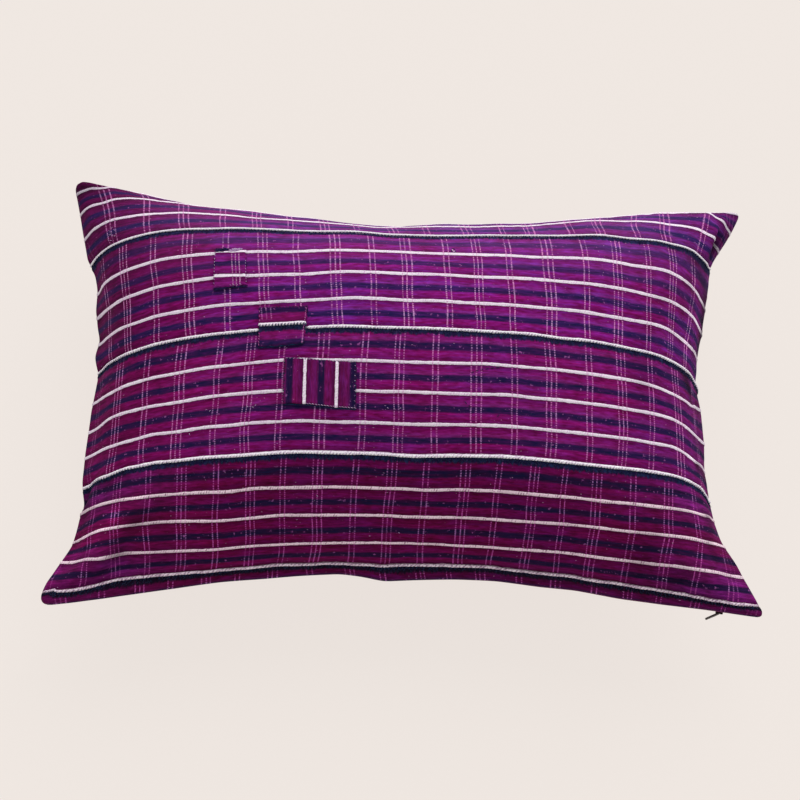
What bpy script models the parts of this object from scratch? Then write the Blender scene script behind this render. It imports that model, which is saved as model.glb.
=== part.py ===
# Lumbar pillow, lying on its back with its striped front face up.
#
# Metres. +X runs to the right across the front, +Y towards the pillow's top edge and
# +Z out of the front face. The origin is under the middle of the pillow, on the plane
# that it rests on.
#
# The cover is one flat rectangle in front and one behind. A place on the cloth is given
# as a share across (a: 0 left, 1 right) and a share down (b: 0 top edge, 1 bottom edge).
# Filling lifts the middle and draws the sides in, so the surface is worked out from the
# rise of the cloth at each place: where it rises steeply, it covers less ground.

import math

import bmesh
import bpy
import numpy as np
from mathutils import Matrix, Vector

# ---------------------------------------------------------------- sizes

COVER_W = 0.610  # flat width of the cover
COVER_H = 0.406  # flat height of the cover
STRIPES_HIGH = 15.75  # stripe repeats from the top edge to the bottom edge
STRIPE = COVER_H / STRIPES_HIGH  # one navy and one white stripe, 25.8 mm

FRONT_CROWN = 0.0877  # how far the front rises above the edge seam
BACK_SHARE = 0.88  # the back rises this share of the front's crown
REST_DEPTH = 0.009  # how far the back is pressed flat where it rests
SEAM_HALF = 0.002  # half the height of the edge seam

CLOTH = 0.0016  # thickness of a woven strip
PATCH_CLOTH = 0.0012  # thickness of a patch
GAP = 0.0003  # space between pieces that touch
RIDGE_A = 0.4846  # where the crown is highest, as a share across
RIDGE_B = 0.55  # and down
CORNER_FILL = 0.865  # how well the filling reaches the corners, from 0 to 1

# How the cloth turns from steep at the edge to flat: the reach of the shoulder and how
# suddenly it ends.
SHOULDERS = {
    # side: (reach, sharpness)
    "left": (0.0991, 1.39),
    "right": (0.0980, 1.71),
    "top": (0.1080, 2.60),
    "bottom": (0.1262, 2.34),
}

# The four corners where the cloth is still flat.
CORNERS = {
    # corner: (x, y, lift)
    "top_left": (-0.3038, 0.2018, 0.0082),
    "top_right": (0.3045, 0.1885, 0.0000),
    "bottom_left": (-0.3125, -0.1984, 0.0078),
    "bottom_right": (0.2990, -0.1984, 0.0048),
}

# The cover's corners are turned round instead of to a point.
CORNER_ROUND = {
    # corner: radius
    "top_left": 0.0125,
    "top_right": 0.0065,
    "bottom_left": 0.0130,
    "bottom_right": 0.0090,
}

# How far each side is drawn in between its corners, how abruptly it runs out to the
# corner at its start and its end, where along it the pull is greatest, and how far the
# side waves in one and in one and a half waves.
SIDES = {
    # side: (pull, start, end, middle, wave, half_wave)
    "left": (0.0368, 1.45, 4.20, 0.476, 0.0020, -0.0005),
    "right": (0.0518, 1.50, 2.79, 0.469, -0.0025, -0.0005),
    "top": (0.0345, 1.90, 1.80, 0.500, -0.0035, 0.0030),
    "bottom": (0.0313, 2.31, 2.06, 0.500, 0.0013, -0.0012),
}

# Uneven filling: it is pushed up towards the top edge and thinner towards the bottom.
LUMP_REACH = 0.14
LUMP_ROWS = (0.18, 0.50, 0.82)  # shares down
LUMPS = {
    # share across: (rise at the upper, middle and lower row)
    0.14: (0.0130, -0.0100, -0.0077),
    0.38: (0.0123, 0.0127, -0.0100),
    0.62: (0.0046, 0.0126, -0.0100),
    0.86: (0.0130, -0.0100, -0.0026),
}

# The woven strips of the front, from stripe repeat to stripe repeat below the top edge.
STRIPS = {
    # node: (from, to, rows, row crowding towards its first edge)
    "front_strip_1": (0.00, 3.30, 6, 1.35),
    "front_strip_2": (3.30, 7.30, 5, 1.00),
    "front_strip_3": (7.30, 11.30, 5, 1.00),
    "front_strip_4": (11.30, 15.30, 6, 0.85),
    "front_strip_5": (15.30, 15.75, 1, 1.00),
}
COLUMNS = 36  # grid columns across the cover

# Patches sewn onto the front, by their corners in millimetres across and down the cloth.
PATCHES = {
    # node: (left, right, top_left, top_right, bottom_left, bottom_right, columns, rows)
    "patch_small": (136.5, 164.5, 110.5, 110.0, 148.5, 147.0, 5, 6),
    "patch_seam": (177.0, 217.5, 168.0, 167.0, 203.0, 201.5, 8, 6),
    "patch_striped": (200.5, 261.5, 213.0, 217.0, 250.5, 255.5, 10, 7),
}

# The zip pull at the bottom seam.
PULL_AT = 0.9395  # share across
PULL_LONG = 0.0132
PULL_WIDE = 0.0044
PULL_THICK = 0.0014
PULL_TURN = math.radians(204)  # direction in which it hangs, from +X
SLIDER = (0.0064, 0.0036, 0.0020)  # long, deep, high
SLIDER_IN = 0.0014  # how far inside the edge its middle is
SLIDER_UNDER = 0.0062  # how far under the middle of the edge
SLIDER_ROUND = 0.0008

# ---------------------------------------------------------------- colours

COLOURS = {
    # node: (red, green, blue, roughness, metallic)
    "cushion_body": (0.165, 0.004, 0.070, 0.90, 0.0),
    "front_strip_1": (0.230, 0.012, 0.190, 0.85, 0.0),
    "front_strip_2": (0.225, 0.008, 0.150, 0.85, 0.0),
    "front_strip_3": (0.215, 0.006, 0.120, 0.85, 0.0),
    "front_strip_4": (0.170, 0.003, 0.075, 0.85, 0.0),
    "front_strip_5": (0.130, 0.002, 0.050, 0.85, 0.0),
    "patch_small": (0.235, 0.006, 0.125, 0.85, 0.0),
    "patch_seam": (0.215, 0.005, 0.105, 0.85, 0.0),
    "patch_striped": (0.205, 0.005, 0.115, 0.85, 0.0),
    "zip_pull": (0.045, 0.042, 0.036, 0.45, 1.0),
}

# ---------------------------------------------------------------- the cover's surface

FINE_A, FINE_B = 241, 161  # steps in which the surface is added up


def shoulder(side, span, distance):
    """Share of the crown reached at a distance along the cloth from a side."""
    reach, sharpness = SHOULDERS[side]
    steps = np.linspace(0.0, span, 400)
    steepness = np.exp(-((steps / reach) ** sharpness))
    rise = np.concatenate(
        ([0.0], np.cumsum((steepness[1:] + steepness[:-1]) / 2) * (steps[1] - steps[0]))
    )
    return np.interp(distance, steps, rise) / rise[-1]


def drawn_in(side, share):
    """How far a side is pulled towards the middle at a share along it."""
    pull, start, end, middle, _, _ = SIDES[side]
    before = share < middle
    away = np.where(before, 1 - share / middle, (share - middle) / (1 - middle))
    return pull * (1 - away ** np.where(before, start, end))


def wave(side, share):
    """The slow waver of a side along its length."""
    _, _, _, _, whole, more = SIDES[side]
    return whole * np.sin(2 * math.pi * share) + more * np.sin(3 * math.pi * share)


def ground_covered(rise, step, axis):
    """Running share of the way from side to side, when the cloth climbs by rise."""
    slope = np.gradient(rise, step, axis=axis)
    level = np.sqrt(np.clip(1 - slope**2, 0.02, 1))
    level = np.moveaxis(level, axis, 0)
    run = np.zeros_like(level)
    run[1:] = np.cumsum((level[1:] + level[:-1]) / 2, axis=0)
    return np.moveaxis(run / run[-1:], 0, axis)


def build_surface():
    """Places of the front cloth above the seam's plane, on a fine grid of shares."""
    a = np.linspace(0, 1, FINE_A)
    b = np.linspace(0, 1, FINE_B)
    across, down = a * COVER_W, b * COVER_H
    ridge_x, ridge_y = RIDGE_A * COVER_W, RIDGE_B * COVER_H
    share_a = np.where(
        across < ridge_x,
        shoulder("left", ridge_x, across),
        shoulder("right", COVER_W - ridge_x, COVER_W - across),
    )
    share_b = np.where(
        down < ridge_y,
        shoulder("top", ridge_y, down),
        shoulder("bottom", COVER_H - ridge_y, COVER_H - down),
    )
    wide, tall = share_a[:, None], share_b[None, :]
    rise = FRONT_CROWN * wide * tall / (1 - CORNER_FILL * (1 - wide) * (1 - tall))
    run_x = ground_covered(rise, across[1], 0)
    run_y = ground_covered(rise, down[1], 1)

    tl, tr = CORNERS["top_left"], CORNERS["top_right"]
    bl, br = CORNERS["bottom_left"], CORNERS["bottom_right"]
    left = tl[0] + (bl[0] - tl[0]) * b + drawn_in("left", b)
    right = tr[0] + (br[0] - tr[0]) * b - drawn_in("right", b)
    top = tl[1] + (tr[1] - tl[1]) * a - drawn_in("top", a)
    bottom = bl[1] + (br[1] - bl[1]) * a + drawn_in("bottom", a)
    x = left[None, :] + (right - left)[None, :] * run_x
    y = top[:, None] + (bottom - top)[:, None] * run_y

    whole_a, whole_b = np.meshgrid(a, b, indexing="ij")
    x += (1 - whole_a) ** 2 * wave("left", whole_b) + whole_a**2 * wave("right", whole_b)
    y += (1 - whole_b) ** 2 * wave("top", whole_a) + whole_b**2 * wave("bottom", whole_a)

    lumps = np.zeros_like(rise)
    for lump_a, rises in LUMPS.items():
        for lump_b, height in zip(LUMP_ROWS, rises):
            far = (across - lump_a * COVER_W)[:, None] ** 2 + (
                down - lump_b * COVER_H
            )[None, :] ** 2
            lumps += height * np.exp(-1.5 * far / LUMP_REACH**2)
    z = rise + lumps * np.sqrt(np.clip(rise / FRONT_CROWN, 0, 1))

    lift = np.zeros_like(rise)
    for corner, (ca, cb) in {
        "top_left": (0, 0),
        "top_right": (1, 0),
        "bottom_left": (0, 1),
        "bottom_right": (1, 1),
    }.items():
        near = (1 - np.abs(whole_a - ca)) * (1 - np.abs(whole_b - cb))
        lift += CORNERS[corner][2] * near**4
    return x, y, z, lift


X, Y, Z, LIFT = build_surface()


def at(table, a, b):
    """A value between the fine grid's points."""
    fa = min(max(a, 0.0), 1.0) * (FINE_A - 1)
    fb = min(max(b, 0.0), 1.0) * (FINE_B - 1)
    i, j = min(int(fa), FINE_A - 2), min(int(fb), FINE_B - 2)
    s, t = fa - i, fb - j
    return float(
        (table[i, j] * (1 - s) + table[i + 1, j] * s) * (1 - t)
        + (table[i, j + 1] * (1 - s) + table[i + 1, j + 1] * s) * t
    )


def turned(a, b):
    """A place on the cloth, pulled in where the cover's corners are turned round."""
    s, t = min(a, 1 - a) * COVER_W, min(b, 1 - b) * COVER_H
    corner = ("top_" if b < 0.5 else "bottom_") + ("left" if a < 0.5 else "right")
    radius = CORNER_ROUND[corner]
    if s >= radius or t >= radius:
        return a, b
    p, q = radius - s, radius - t
    scale = max(p, q) / math.hypot(p, q)
    s, t = (radius - p * scale) / COVER_W, (radius - q * scale) / COVER_H
    return (s if a < 0.5 else 1 - s), (t if b < 0.5 else 1 - t)


def front(a, b):
    """A point of the body's front, under the strips."""
    return Vector((at(X, a, b), at(Y, a, b), SEAM_HALF + at(LIFT, a, b) + at(Z, a, b)))


REST_Z = -SEAM_HALF - BACK_SHARE * float(Z.max()) + REST_DEPTH


def back(a, b):
    """A point of the body's back, flat where it rests."""
    z = -SEAM_HALF + at(LIFT, a, b) - BACK_SHARE * at(Z, a, b)
    return Vector((at(X, a, b), at(Y, a, b), max(z, REST_Z)))


def normal(a, b):
    """The direction out of the front at a place on the cloth."""
    step = 0.004
    a0, a1 = max(a - step, 0), min(a + step, 1)
    b0, b1 = max(b - step, 0), min(b + step, 1)
    along = (front(a1, b) - front(a0, b)).normalized()
    up = (front(a, b0) - front(a, b1)).normalized()
    return along.cross(up).normalized()


def raised(a, b, height):
    a, b = turned(a, b)
    return front(a, b) + normal(a, b) * height


# ---------------------------------------------------------------- grid lines


def columns():
    """Shares across, closer together where the sides fall away."""
    even = np.linspace(0, 1, COLUMNS + 1)
    return [float(t - 0.55 * math.sin(2 * math.pi * t) / (2 * math.pi)) for t in even]


def strip_rows(name):
    """Shares down, from a strip's first edge to its last."""
    start, end, count, crowding = STRIPS[name]
    return [
        (start + (end - start) * (k / count) ** crowding) / STRIPES_HIGH
        for k in range(count + 1)
    ]


def all_rows():
    rows = []
    for name in STRIPS:
        rows += strip_rows(name)[:-1]
    return rows + [1.0]


# ---------------------------------------------------------------- making meshes


def remove_everything():
    for thing in list(bpy.data.objects):
        bpy.data.objects.remove(thing, do_unlink=True)


def material(name):
    red, green, blue, rough, metal = COLOURS[name]
    made = bpy.data.materials.new(name + "_finish")
    made.use_nodes = True
    shader = made.node_tree.nodes["Principled BSDF"]
    shader.inputs["Base Color"].default_value = (red, green, blue, 1)
    shader.inputs["Roughness"].default_value = rough
    shader.inputs["Metallic"].default_value = metal
    made.diffuse_color = (red, green, blue, 1)
    return made


def finish(bm, name, parent):
    """Turns a bmesh into the named object of one piece."""
    mesh = bpy.data.meshes.new(name)
    bm.to_mesh(mesh)
    bm.free()
    piece = bpy.data.objects.new(name, mesh)
    bpy.context.scene.collection.objects.link(piece)
    piece.parent = parent
    mesh.materials.append(material(name))
    mesh.shade_smooth()
    mesh.set_sharp_from_angle(angle=math.radians(40))
    return piece


def two_triangles(bm, p, q, r, s):
    """A four-sided cell, always cut along the same diagonal."""
    bm.faces.new((p, q, r))
    bm.faces.new((p, r, s))


def grid(bm, points):
    """Cells between rows of vertices; rows run across, one below the other."""
    for upper, lower in zip(points, points[1:]):
        for k in range(len(upper) - 1):
            two_triangles(bm, upper[k], lower[k], lower[k + 1], upper[k + 1])


def make_body(parent):
    bm = bmesh.new()
    cols, rows = columns(), all_rows()
    over = [[bm.verts.new(front(*turned(a, b))) for a in cols] for b in rows]
    under = [[bm.verts.new(back(*turned(a, b))) for a in cols] for b in rows]
    grid(bm, over)
    grid(bm, [list(reversed(row)) for row in under])

    def rim(line):
        return (
            [line[0][k] for k in range(len(cols))]
            + [row[-1] for row in line[1:]]
            + [line[-1][k] for k in range(len(cols) - 2, -1, -1)]
            + [row[0] for row in line[-2:0:-1]]
        )

    high, low = rim(over), rim(under)
    for k in range(len(high)):
        n = (k + 1) % len(high)
        two_triangles(bm, high[k], high[n], low[n], low[k])
    return finish(bm, "cushion_body", parent)


def thicken(piece, thickness):
    """Gives a single layer its thickness, outward from where it lies."""
    made = piece.modifiers.new("cloth", "SOLIDIFY")
    made.thickness = thickness
    made.offset = 1.0
    made.use_even_offset = False
    made.use_rim = True


def make_strip(name, parent):
    cols, rows = columns(), strip_rows(name)
    inset = GAP / 2 / COVER_H
    if name != "front_strip_1":
        rows[0] += inset
    if name != "front_strip_5":
        rows[-1] -= inset
    bm = bmesh.new()
    grid(bm, [[bm.verts.new(raised(a, b, GAP)) for a in cols] for b in rows])
    piece = finish(bm, name, parent)
    thicken(piece, CLOTH)
    return piece


def make_patch(name, parent):
    left, right, tl, tr, bl, br, across, down = PATCHES[name]
    bm = bmesh.new()
    points = []
    for j in range(down + 1):
        row = []
        for i in range(across + 1):
            s, t = i / across, j / down
            upper, lower = tl + (tr - tl) * s, bl + (br - bl) * s
            a = (left + (right - left) * s) / 1000 / COVER_W
            b = (upper + (lower - upper) * t) / 1000 / COVER_H
            row.append(bm.verts.new(raised(a, b, GAP + CLOTH + GAP)))
        points.append(row)
    grid(bm, points)
    piece = finish(bm, name, parent)
    thicken(piece, PATCH_CLOTH)
    return piece


def make_pull(parent):
    """Slider of the hidden zip under the edge, and the flat tab that hangs from it edge on."""
    edge = front(PULL_AT, 1.0)
    seam = Vector((edge.x, edge.y, edge.z - SEAM_HALF))
    along = (front(PULL_AT + 0.01, 1.0) - front(PULL_AT - 0.01, 1.0)).normalized()
    tilt = math.atan2(along.y, along.x)
    long, deep, high = SLIDER
    outward = Vector((math.sin(tilt), -math.cos(tilt), 0))
    middle = seam - outward * SLIDER_IN - Vector((0, 0, SLIDER_UNDER))

    bm = bmesh.new()
    bmesh.ops.create_cube(bm, size=1.0)
    bmesh.ops.scale(bm, vec=(long, deep, high), verts=bm.verts)
    bmesh.ops.bevel(
        bm,
        geom=list(bm.edges),
        offset=SLIDER_ROUND,
        segments=2,
        profile=0.5,
        affect="EDGES",
    )
    bmesh.ops.transform(
        bm,
        matrix=Matrix.Translation(middle) @ Matrix.Rotation(tilt, 4, "Z"),
        verts=bm.verts,
    )
    slider = finish(bm, "zip_pull", parent)

    # The tab narrows from its root to a rounded tip.
    bm = bmesh.new()
    steps = 8
    outline = [(0.0, PULL_WIDE * 0.30), (0.0, -PULL_WIDE * 0.30)]
    outline += [(PULL_LONG * 0.25, -PULL_WIDE * 0.5)]
    for k in range(steps + 1):
        turn = -math.pi / 2 + math.pi * k / steps
        outline.append(
            (
                PULL_LONG - PULL_WIDE * 0.36 + PULL_WIDE * 0.36 * math.cos(turn),
                PULL_WIDE * 0.36 * math.sin(turn),
            )
        )
    outline += [(PULL_LONG * 0.25, PULL_WIDE * 0.5)]
    face = bm.faces.new([bm.verts.new((x, 0, z)) for x, z in outline])
    grown = bmesh.ops.extrude_face_region(bm, geom=[face])
    bmesh.ops.translate(
        bm,
        vec=(0, PULL_THICK, 0),
        verts=[v for v in grown["geom"] if isinstance(v, bmesh.types.BMVert)],
    )
    bmesh.ops.translate(bm, vec=(0, -PULL_THICK / 2, 0), verts=bm.verts)
    bmesh.ops.recalc_face_normals(bm, faces=bm.faces)
    root = middle + outward * deep * 0.3
    bmesh.ops.transform(
        bm,
        matrix=Matrix.Translation(root) @ Matrix.Rotation(PULL_TURN, 4, "Z"),
        verts=bm.verts,
    )
    mesh = bpy.data.meshes.new("pull_tab")
    bm.to_mesh(mesh)
    bm.free()
    tab = bpy.data.objects.new("pull_tab", mesh)
    bpy.context.scene.collection.objects.link(tab)
    tab.parent = parent
    tab.hide_render = True
    tab.display_type = "WIRE"

    joined = slider.modifiers.new("with_tab", "BOOLEAN")
    joined.operation = "UNION"
    joined.solver = "EXACT"
    joined.object = tab
    return slider


def main():
    remove_everything()
    pillow = bpy.data.objects.new("pillow", None)
    bpy.context.scene.collection.objects.link(pillow)
    body = make_body(pillow)
    pieces = [body]
    pieces += [make_strip(name, pillow) for name in STRIPS]
    pieces += [make_patch(name, pillow) for name in PATCHES]
    pieces.append(make_pull(pillow))

    # The pillow is set down with its middle over the origin and its back on the plane.
    bpy.context.view_layer.update()
    graph = bpy.context.evaluated_depsgraph_get()
    corners = []
    for piece in pieces:
        mesh = piece.evaluated_get(graph).data
        spot = np.empty(len(mesh.vertices) * 3)
        mesh.vertices.foreach_get("co", spot)
        corners.append(spot.reshape(-1, 3))
    every = np.concatenate(corners)
    low, high = every.min(0), every.max(0)
    pillow.location = (-(low[0] + high[0]) / 2, -(low[1] + high[1]) / 2, -low[2])


main()
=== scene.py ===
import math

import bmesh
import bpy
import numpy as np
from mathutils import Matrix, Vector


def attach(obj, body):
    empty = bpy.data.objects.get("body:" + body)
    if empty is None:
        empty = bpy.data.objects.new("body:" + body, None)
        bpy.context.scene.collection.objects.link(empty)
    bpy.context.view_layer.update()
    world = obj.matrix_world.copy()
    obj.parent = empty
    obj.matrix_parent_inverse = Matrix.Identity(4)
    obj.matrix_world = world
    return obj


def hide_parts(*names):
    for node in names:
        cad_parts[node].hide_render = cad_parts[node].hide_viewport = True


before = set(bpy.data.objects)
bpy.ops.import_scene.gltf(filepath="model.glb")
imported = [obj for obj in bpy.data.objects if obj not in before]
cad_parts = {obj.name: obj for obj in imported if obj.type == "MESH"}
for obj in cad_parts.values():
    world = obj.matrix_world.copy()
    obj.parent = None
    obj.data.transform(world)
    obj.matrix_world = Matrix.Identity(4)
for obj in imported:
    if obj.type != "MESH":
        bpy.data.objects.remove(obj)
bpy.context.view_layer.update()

# The lumbar pillow's looks: a filled form with the hand-woven front laid on it strip by
# strip, patches and stitches, and the plain back.
#
# A place on the cloth is u, the distance across from the left side, and v, the distance
# down from the top edge, both in metres on the flat cover. Along v the stripes repeat
# every PITCH, and a place in the pattern is given in pitches.

# ------------------------------------------------------------------ sizes of the form

COVER_W = 0.610
COVER_H = 0.406
PITCHES = 15.75
PITCH = COVER_H / PITCHES
FRONT_CROWN = 0.0877
BACK_SHARE = 0.88
REST_DEPTH = 0.009
SEAM_HALF = 0.002
CLOTH = 0.0016
PATCH_CLOTH = 0.0012
GAP = 0.0003
RIDGE_A, RIDGE_B = 0.4846, 0.55
CORNER_FILL = 0.865
PLACE = np.array([0.0022034, -0.001036, 0.0866015])  # where the seam's plane stands

SHOULDERS = {
    # side: (reach, sharpness)
    "left": (0.0991, 1.39),
    "right": (0.0980, 1.71),
    "top": (0.1080, 2.60),
    "bottom": (0.1262, 2.34),
}
CORNERS = {
    # corner: (x, y, lift)
    "top_left": (-0.3038, 0.2018, 0.0082),
    "top_right": (0.3045, 0.1885, 0.0000),
    "bottom_left": (-0.3125, -0.1984, 0.0078),
    "bottom_right": (0.2990, -0.1984, 0.0048),
}
SIDES = {
    # side: (pull, start, end, middle, wave, half_wave)
    "left": (0.0368, 1.45, 4.20, 0.476, 0.0020, -0.0005),
    "right": (0.0518, 1.50, 2.79, 0.469, -0.0025, -0.0005),
    "top": (0.0345, 1.90, 1.80, 0.500, -0.0035, 0.0030),
    "bottom": (0.0313, 2.31, 2.06, 0.500, 0.0013, -0.0012),
}
LUMP_REACH = 0.14
LUMP_ROWS = (0.18, 0.50, 0.82)
LUMPS = {
    # share across: (rise at the upper, middle and lower row)
    0.14: (0.0130, -0.0100, -0.0077),
    0.38: (0.0123, 0.0127, -0.0100),
    0.62: (0.0046, 0.0126, -0.0100),
    0.86: (0.0130, -0.0100, -0.0026),
}
# Radius of the cover's turned corners.
CORNER_ROUND = {"top_left": 0.0125, "top_right": 0.0065, "bottom_left": 0.0155, "bottom_right": 0.0090}
# The right side is pinched in under the top corner.
PINCH_DEPTH, PINCH_AT, PINCH_REACH = 0.0065, 0.135, 0.075

# Small waves of the sides: (share along, millimetres inward), and how far each reaches
# into the cloth, in metres.
WAVES = {
    "left": (0.030, ((0, 0), (0.08, -0.6), (0.13, -1.4), (0.20, -1.6), (0.235, 3.0), (0.27, 3.2), (0.32, -0.4), (0.36, -0.2), (0.39, 1.2), (0.43, -3.6), (0.48, 0), (0.56, -2.4), (0.66, -2.8), (0.73, -1.4), (0.775, 4.0), (0.81, 3.0), (0.87, 3.4), (0.91, -0.6), (0.95, -2.8), (1, 0))),
    "right": (0.026, ((0, 0), (0.25, 0), (0.31, -1.5), (0.38, -0.8), (0.45, -0.6), (0.52, -4.2), (0.60, -3.4), (0.66, 0), (0.72, 0.4), (0.78, 2.0), (0.83, 1.8), (0.88, -2.8), (0.93, -3.0), (0.97, -2.5), (1, -1.5))),
    "top": (0.045, ((0, 0), (0.11, 0.9), (0.15, 2.2), (0.19, 4.0), (0.22, 4.6), (0.25, 3.2), (0.29, 1.4), (0.37, 2.4), (0.46, 1.5), (0.52, 2.2), (0.58, 3.2), (0.64, 3.8), (0.70, 2.0), (0.76, 1.8), (0.81, -0.6), (0.865, -2.2), (0.90, -1.8), (0.94, -0.6), (1, 0))),
    "bottom": (0.016, ((0, 0), (0.05, -2.2), (0.09, -2.8), (0.14, -2.6), (0.19, -1.8), (0.25, 0), (0.31, 0.2), (0.36, 1.5), (0.415, 2.4), (0.445, 0), (0.475, -3.8), (0.52, -1.8), (0.575, 0.6), (0.63, 1.8), (0.69, 0.4), (0.74, 0.9), (0.80, -1.6), (0.86, -1.6), (0.92, -0.6), (1, 0))),
}

# Strips of the front, in pitches from the top edge.
STRIPS = {
    # name: (from, to)
    "strip_1": (0.00, 3.30),
    "strip_2": (3.30, 7.30),
    "strip_3": (7.30, 11.30),
    "strip_4": (11.30, 15.30),
    "strip_5": (15.30, 15.75),
}

# How far the hand-sewn cloth lies off its even place, in millimetres down, at places
# across (top row, millimetres) for lines of the pattern (first column, pitches).
DRIFT_ACROSS = (0, 20, 40, 65, 90, 140, 200, 260, 290, 320, 380, 440, 500, 540, 575, 592, 610)
DRIFT = {
    0.00: (-1.4, -1.4, -1.1, -0.7, -0.6, -0.5, 0, 0, 0, 0, 0, 0, 0, -0.1, -0.4, -0.5, -0.5),
    0.30: (8.6, 0.4, -7.1, -5.7, -4.1, -1, 0.5, 0.5, 0.5, 0.5, 0.5, -0.5, -3.5, -4.6, -6.2, -7, -5.5),
    1.30: (3.2, -4, -9.5, -9.5, -9.8, -3.3, 1.1, 0.9, 0.5, 0, 0, -1.4, -16.8, -26.7, -34.8, -21.1, -8.1),
    2.30: (2, -2.8, -5.9, -5.6, -4.3, 0.8, 1, -0.4, -1.4, -1.8, -3.2, -7.3, -16.1, -19.6, -24.8, -23.4, -14.4),
    3.30: (0.7, -1.8, -3.1, -2.8, -3.1, -2.6, -1.4, -5.1, -1.5, -1.4, -6.3, -4.6, -6.6, -14, -22.7, -22.5, -23.2),
    4.30: (3.2, 2.9, 2.7, 2, 0.5, 1.3, 1.8, -2.2, -2, -1.6, -1.4, -0.1, -1.6, -7.7, -6.7, -4, -4.1),
    5.30: (1, 1, 1.9, 2.4, -0.1, -0.7, 0.5, -3.2, -2.7, -3.3, -3.3, -1.9, -2.1, -5.7, -6.1, -3.5, -2.8),
    6.30: (0.6, 0.7, 1.9, 2.1, 0.2, -0.9, 0.4, -2.2, -2.4, -2.5, -1.6, -1.3, -1.8, -5.1, -4.3, -5.1, -5.4),
    7.30: (2.3, 1.4, 1.8, 1.3, -0.7, -2.2, -2, -1.6, -2.1, -2.3, -2, -1.6, -2.5, -2.8, -3.6, -0.3, 0.6),
    8.30: (6.2, 6.5, 6.6, 5, 3.4, 0.8, -0.1, 2.1, 2.1, 2.1, 1.2, 1.2, 0.3, 1.6, 2, -3.6, -6.8),
    9.30: (7.4, 7.5, 5, 3.9, 2.7, -0.1, -0.1, 1, 0.9, 1.5, 0, -0.1, -0.4, -0.6, 3.4, 3.3, 2.2),
    10.30: (5.7, 6.6, 5.3, 3.7, 1.4, -0.7, -1.4, -0.1, 0, 0.2, -1.2, -1.2, -1.1, -1, 5.1, 4.2, 4.5),
    11.30: (7.7, 7.5, 6.6, 2, -0.3, -1.6, -3.2, -2.4, -1.8, -1.2, -3.8, -3.1, -2.5, -1.5, 1.7, 6, 7.4),
    12.30: (8.6, 6.6, 5.2, 4, 2.1, 1.8, -0.5, -0.9, -0.1, 0.4, -2.1, -0.3, 1.3, 1.9, 2.4, 0.9, 0.1),
    13.30: (7.4, 6.3, 2.3, 0.8, -0.7, 0.6, -2.8, -3.1, -2.1, -2.2, -3.6, -3.9, -1.7, -0.9, 0.5, -0.1, -0.8),
    14.30: (-0.9, 0.6, 1.8, -1.8, -0.9, 0.4, -2, -1.9, -1, -1.2, -3.2, -4.7, -1.7, -1.7, 1.4, 1.5, 0.9),
    15.30: (0.2, 0.9, 0, -3.1, -3, -2.2, -3.3, -2.1, -0.8, -2.3, -5.6, -5.6, -3.1, -1.2, 0.4, 1.6, 1.3),
    15.75: (0.1, 0.1, 0.1, 0.1, 0.2, 0.2, 0.1, -0.1, 0, 0, -0.1, -0.3, -0.5, -0.3, -0.4, 0, 0),
}

# Where each strip's groups of pink weft threads run, in millimetres across; threads
# come in threes and twos by turns.
WEFT_GROUPS = {
    # strip: (first group has three, places)
    "strip_1": (False, (5, 37, 72.5, 105, 140.5, 170, 199.5, 229.5, 258, 290.5, 320, 356, 388.5, 411.5, 451, 475, 511.5, 540, 582.5, 608)),
    "strip_2": (True, (-7, 30, 56, 85, 115, 147.5, 180.5, 208.5, 242, 273.5, 302, 337.5, 364, 392, 426.5, 459, 487.5, 517, 542, 568, 604)),
    "strip_3": (True, (-16, 16, 48, 79, 110, 143, 169.5, 197, 232, 268, 297.5, 328.5, 363.8, 396, 427.5, 462, 491.5, 518.5, 549, 581.8, 606)),
    "strip_4": (True, (-6, 24.5, 49.5, 77.5, 107.5, 138, 168, 196, 226, 258, 289, 319, 354, 382, 414, 441, 470, 503, 537, 566.5, 600, 630)),
    "strip_5": (True, (15.5, 48.5, 79.5, 105.5, 136.5, 162.5, 191, 224, 258, 285, 318.5, 343, 371, 406, 437.5, 471, 500, 526.5, 558, 581, 603)),
}

# How far the weft groups stand aside from those places higher and lower in a strip, in
# millimetres, at places across (top row, millimetres).
SLANT_ACROSS = (0, 60, 130, 220, 320, 420, 510, 560, 610)
SLANT = {
    # strip: rows of (pitches, millimetres aside...)
    "strip_1": (
        (0.3, -12, -11, -7, -5, -4, -1.5, 1, -6, -8),
        (2.8, 0.5, 0.2, 0, 0.2, 0.4, 0.8, 1.5, 1.5, 0.5),
        (3.3, 4, 3.5, 2, 1.4, 1.8, 2.2, 2.4, 1.5, 0.5),
    ),
    "strip_2": (
        (3.5, -4.8, -4.9, -3.2, -2.7, -2, -1.5, 1.2, 4.4, 4.4),
        (5.3, -0, -0.1, -0.4, 0.1, 0.4, 0.3, 0.8, 1, 1),
        (7.1, -0.1, 0.4, 2, 2.3, 3.2, 3.6, 2.2, 0.6, 0.1),
    ),
    "strip_3": (
        (7.5, -0.8, -0.2, 1, 1.7, 0.4, -0.5, 1.1, 0.6, 0.6),
        (9.3, -0.9, -0.8, -0.2, -0.2, 0, 1.1, 1.1, 1.2, 1.2),
        (11.1, -2.6, -4.2, -3.7, -1.5, 1.1, 2.3, 2.5, 3, 1.9),
    ),
    "strip_4": (
        (11.6, 3.6, 4.3, 4, 4.3, 5.1, 3.4, 2.1, -0.5, -0.5),
        (13.4, 1.2, 1.4, 1.5, 1.5, 1.1, 1.5, 2.2, 2.9, 2.9),
        (15.1, 9, 9.3, 5.3, 1.7, -0.7, -4.5, -7.3, -11.2, -11.2),
    ),
    "strip_5": (
        (15.3, 0, 0, 0, 0, 0, 0, 0, 0, 0),
        (15.75, 8, 7, 5, 4, 3, -3, -6, -7, -7),
    ),
}

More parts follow.
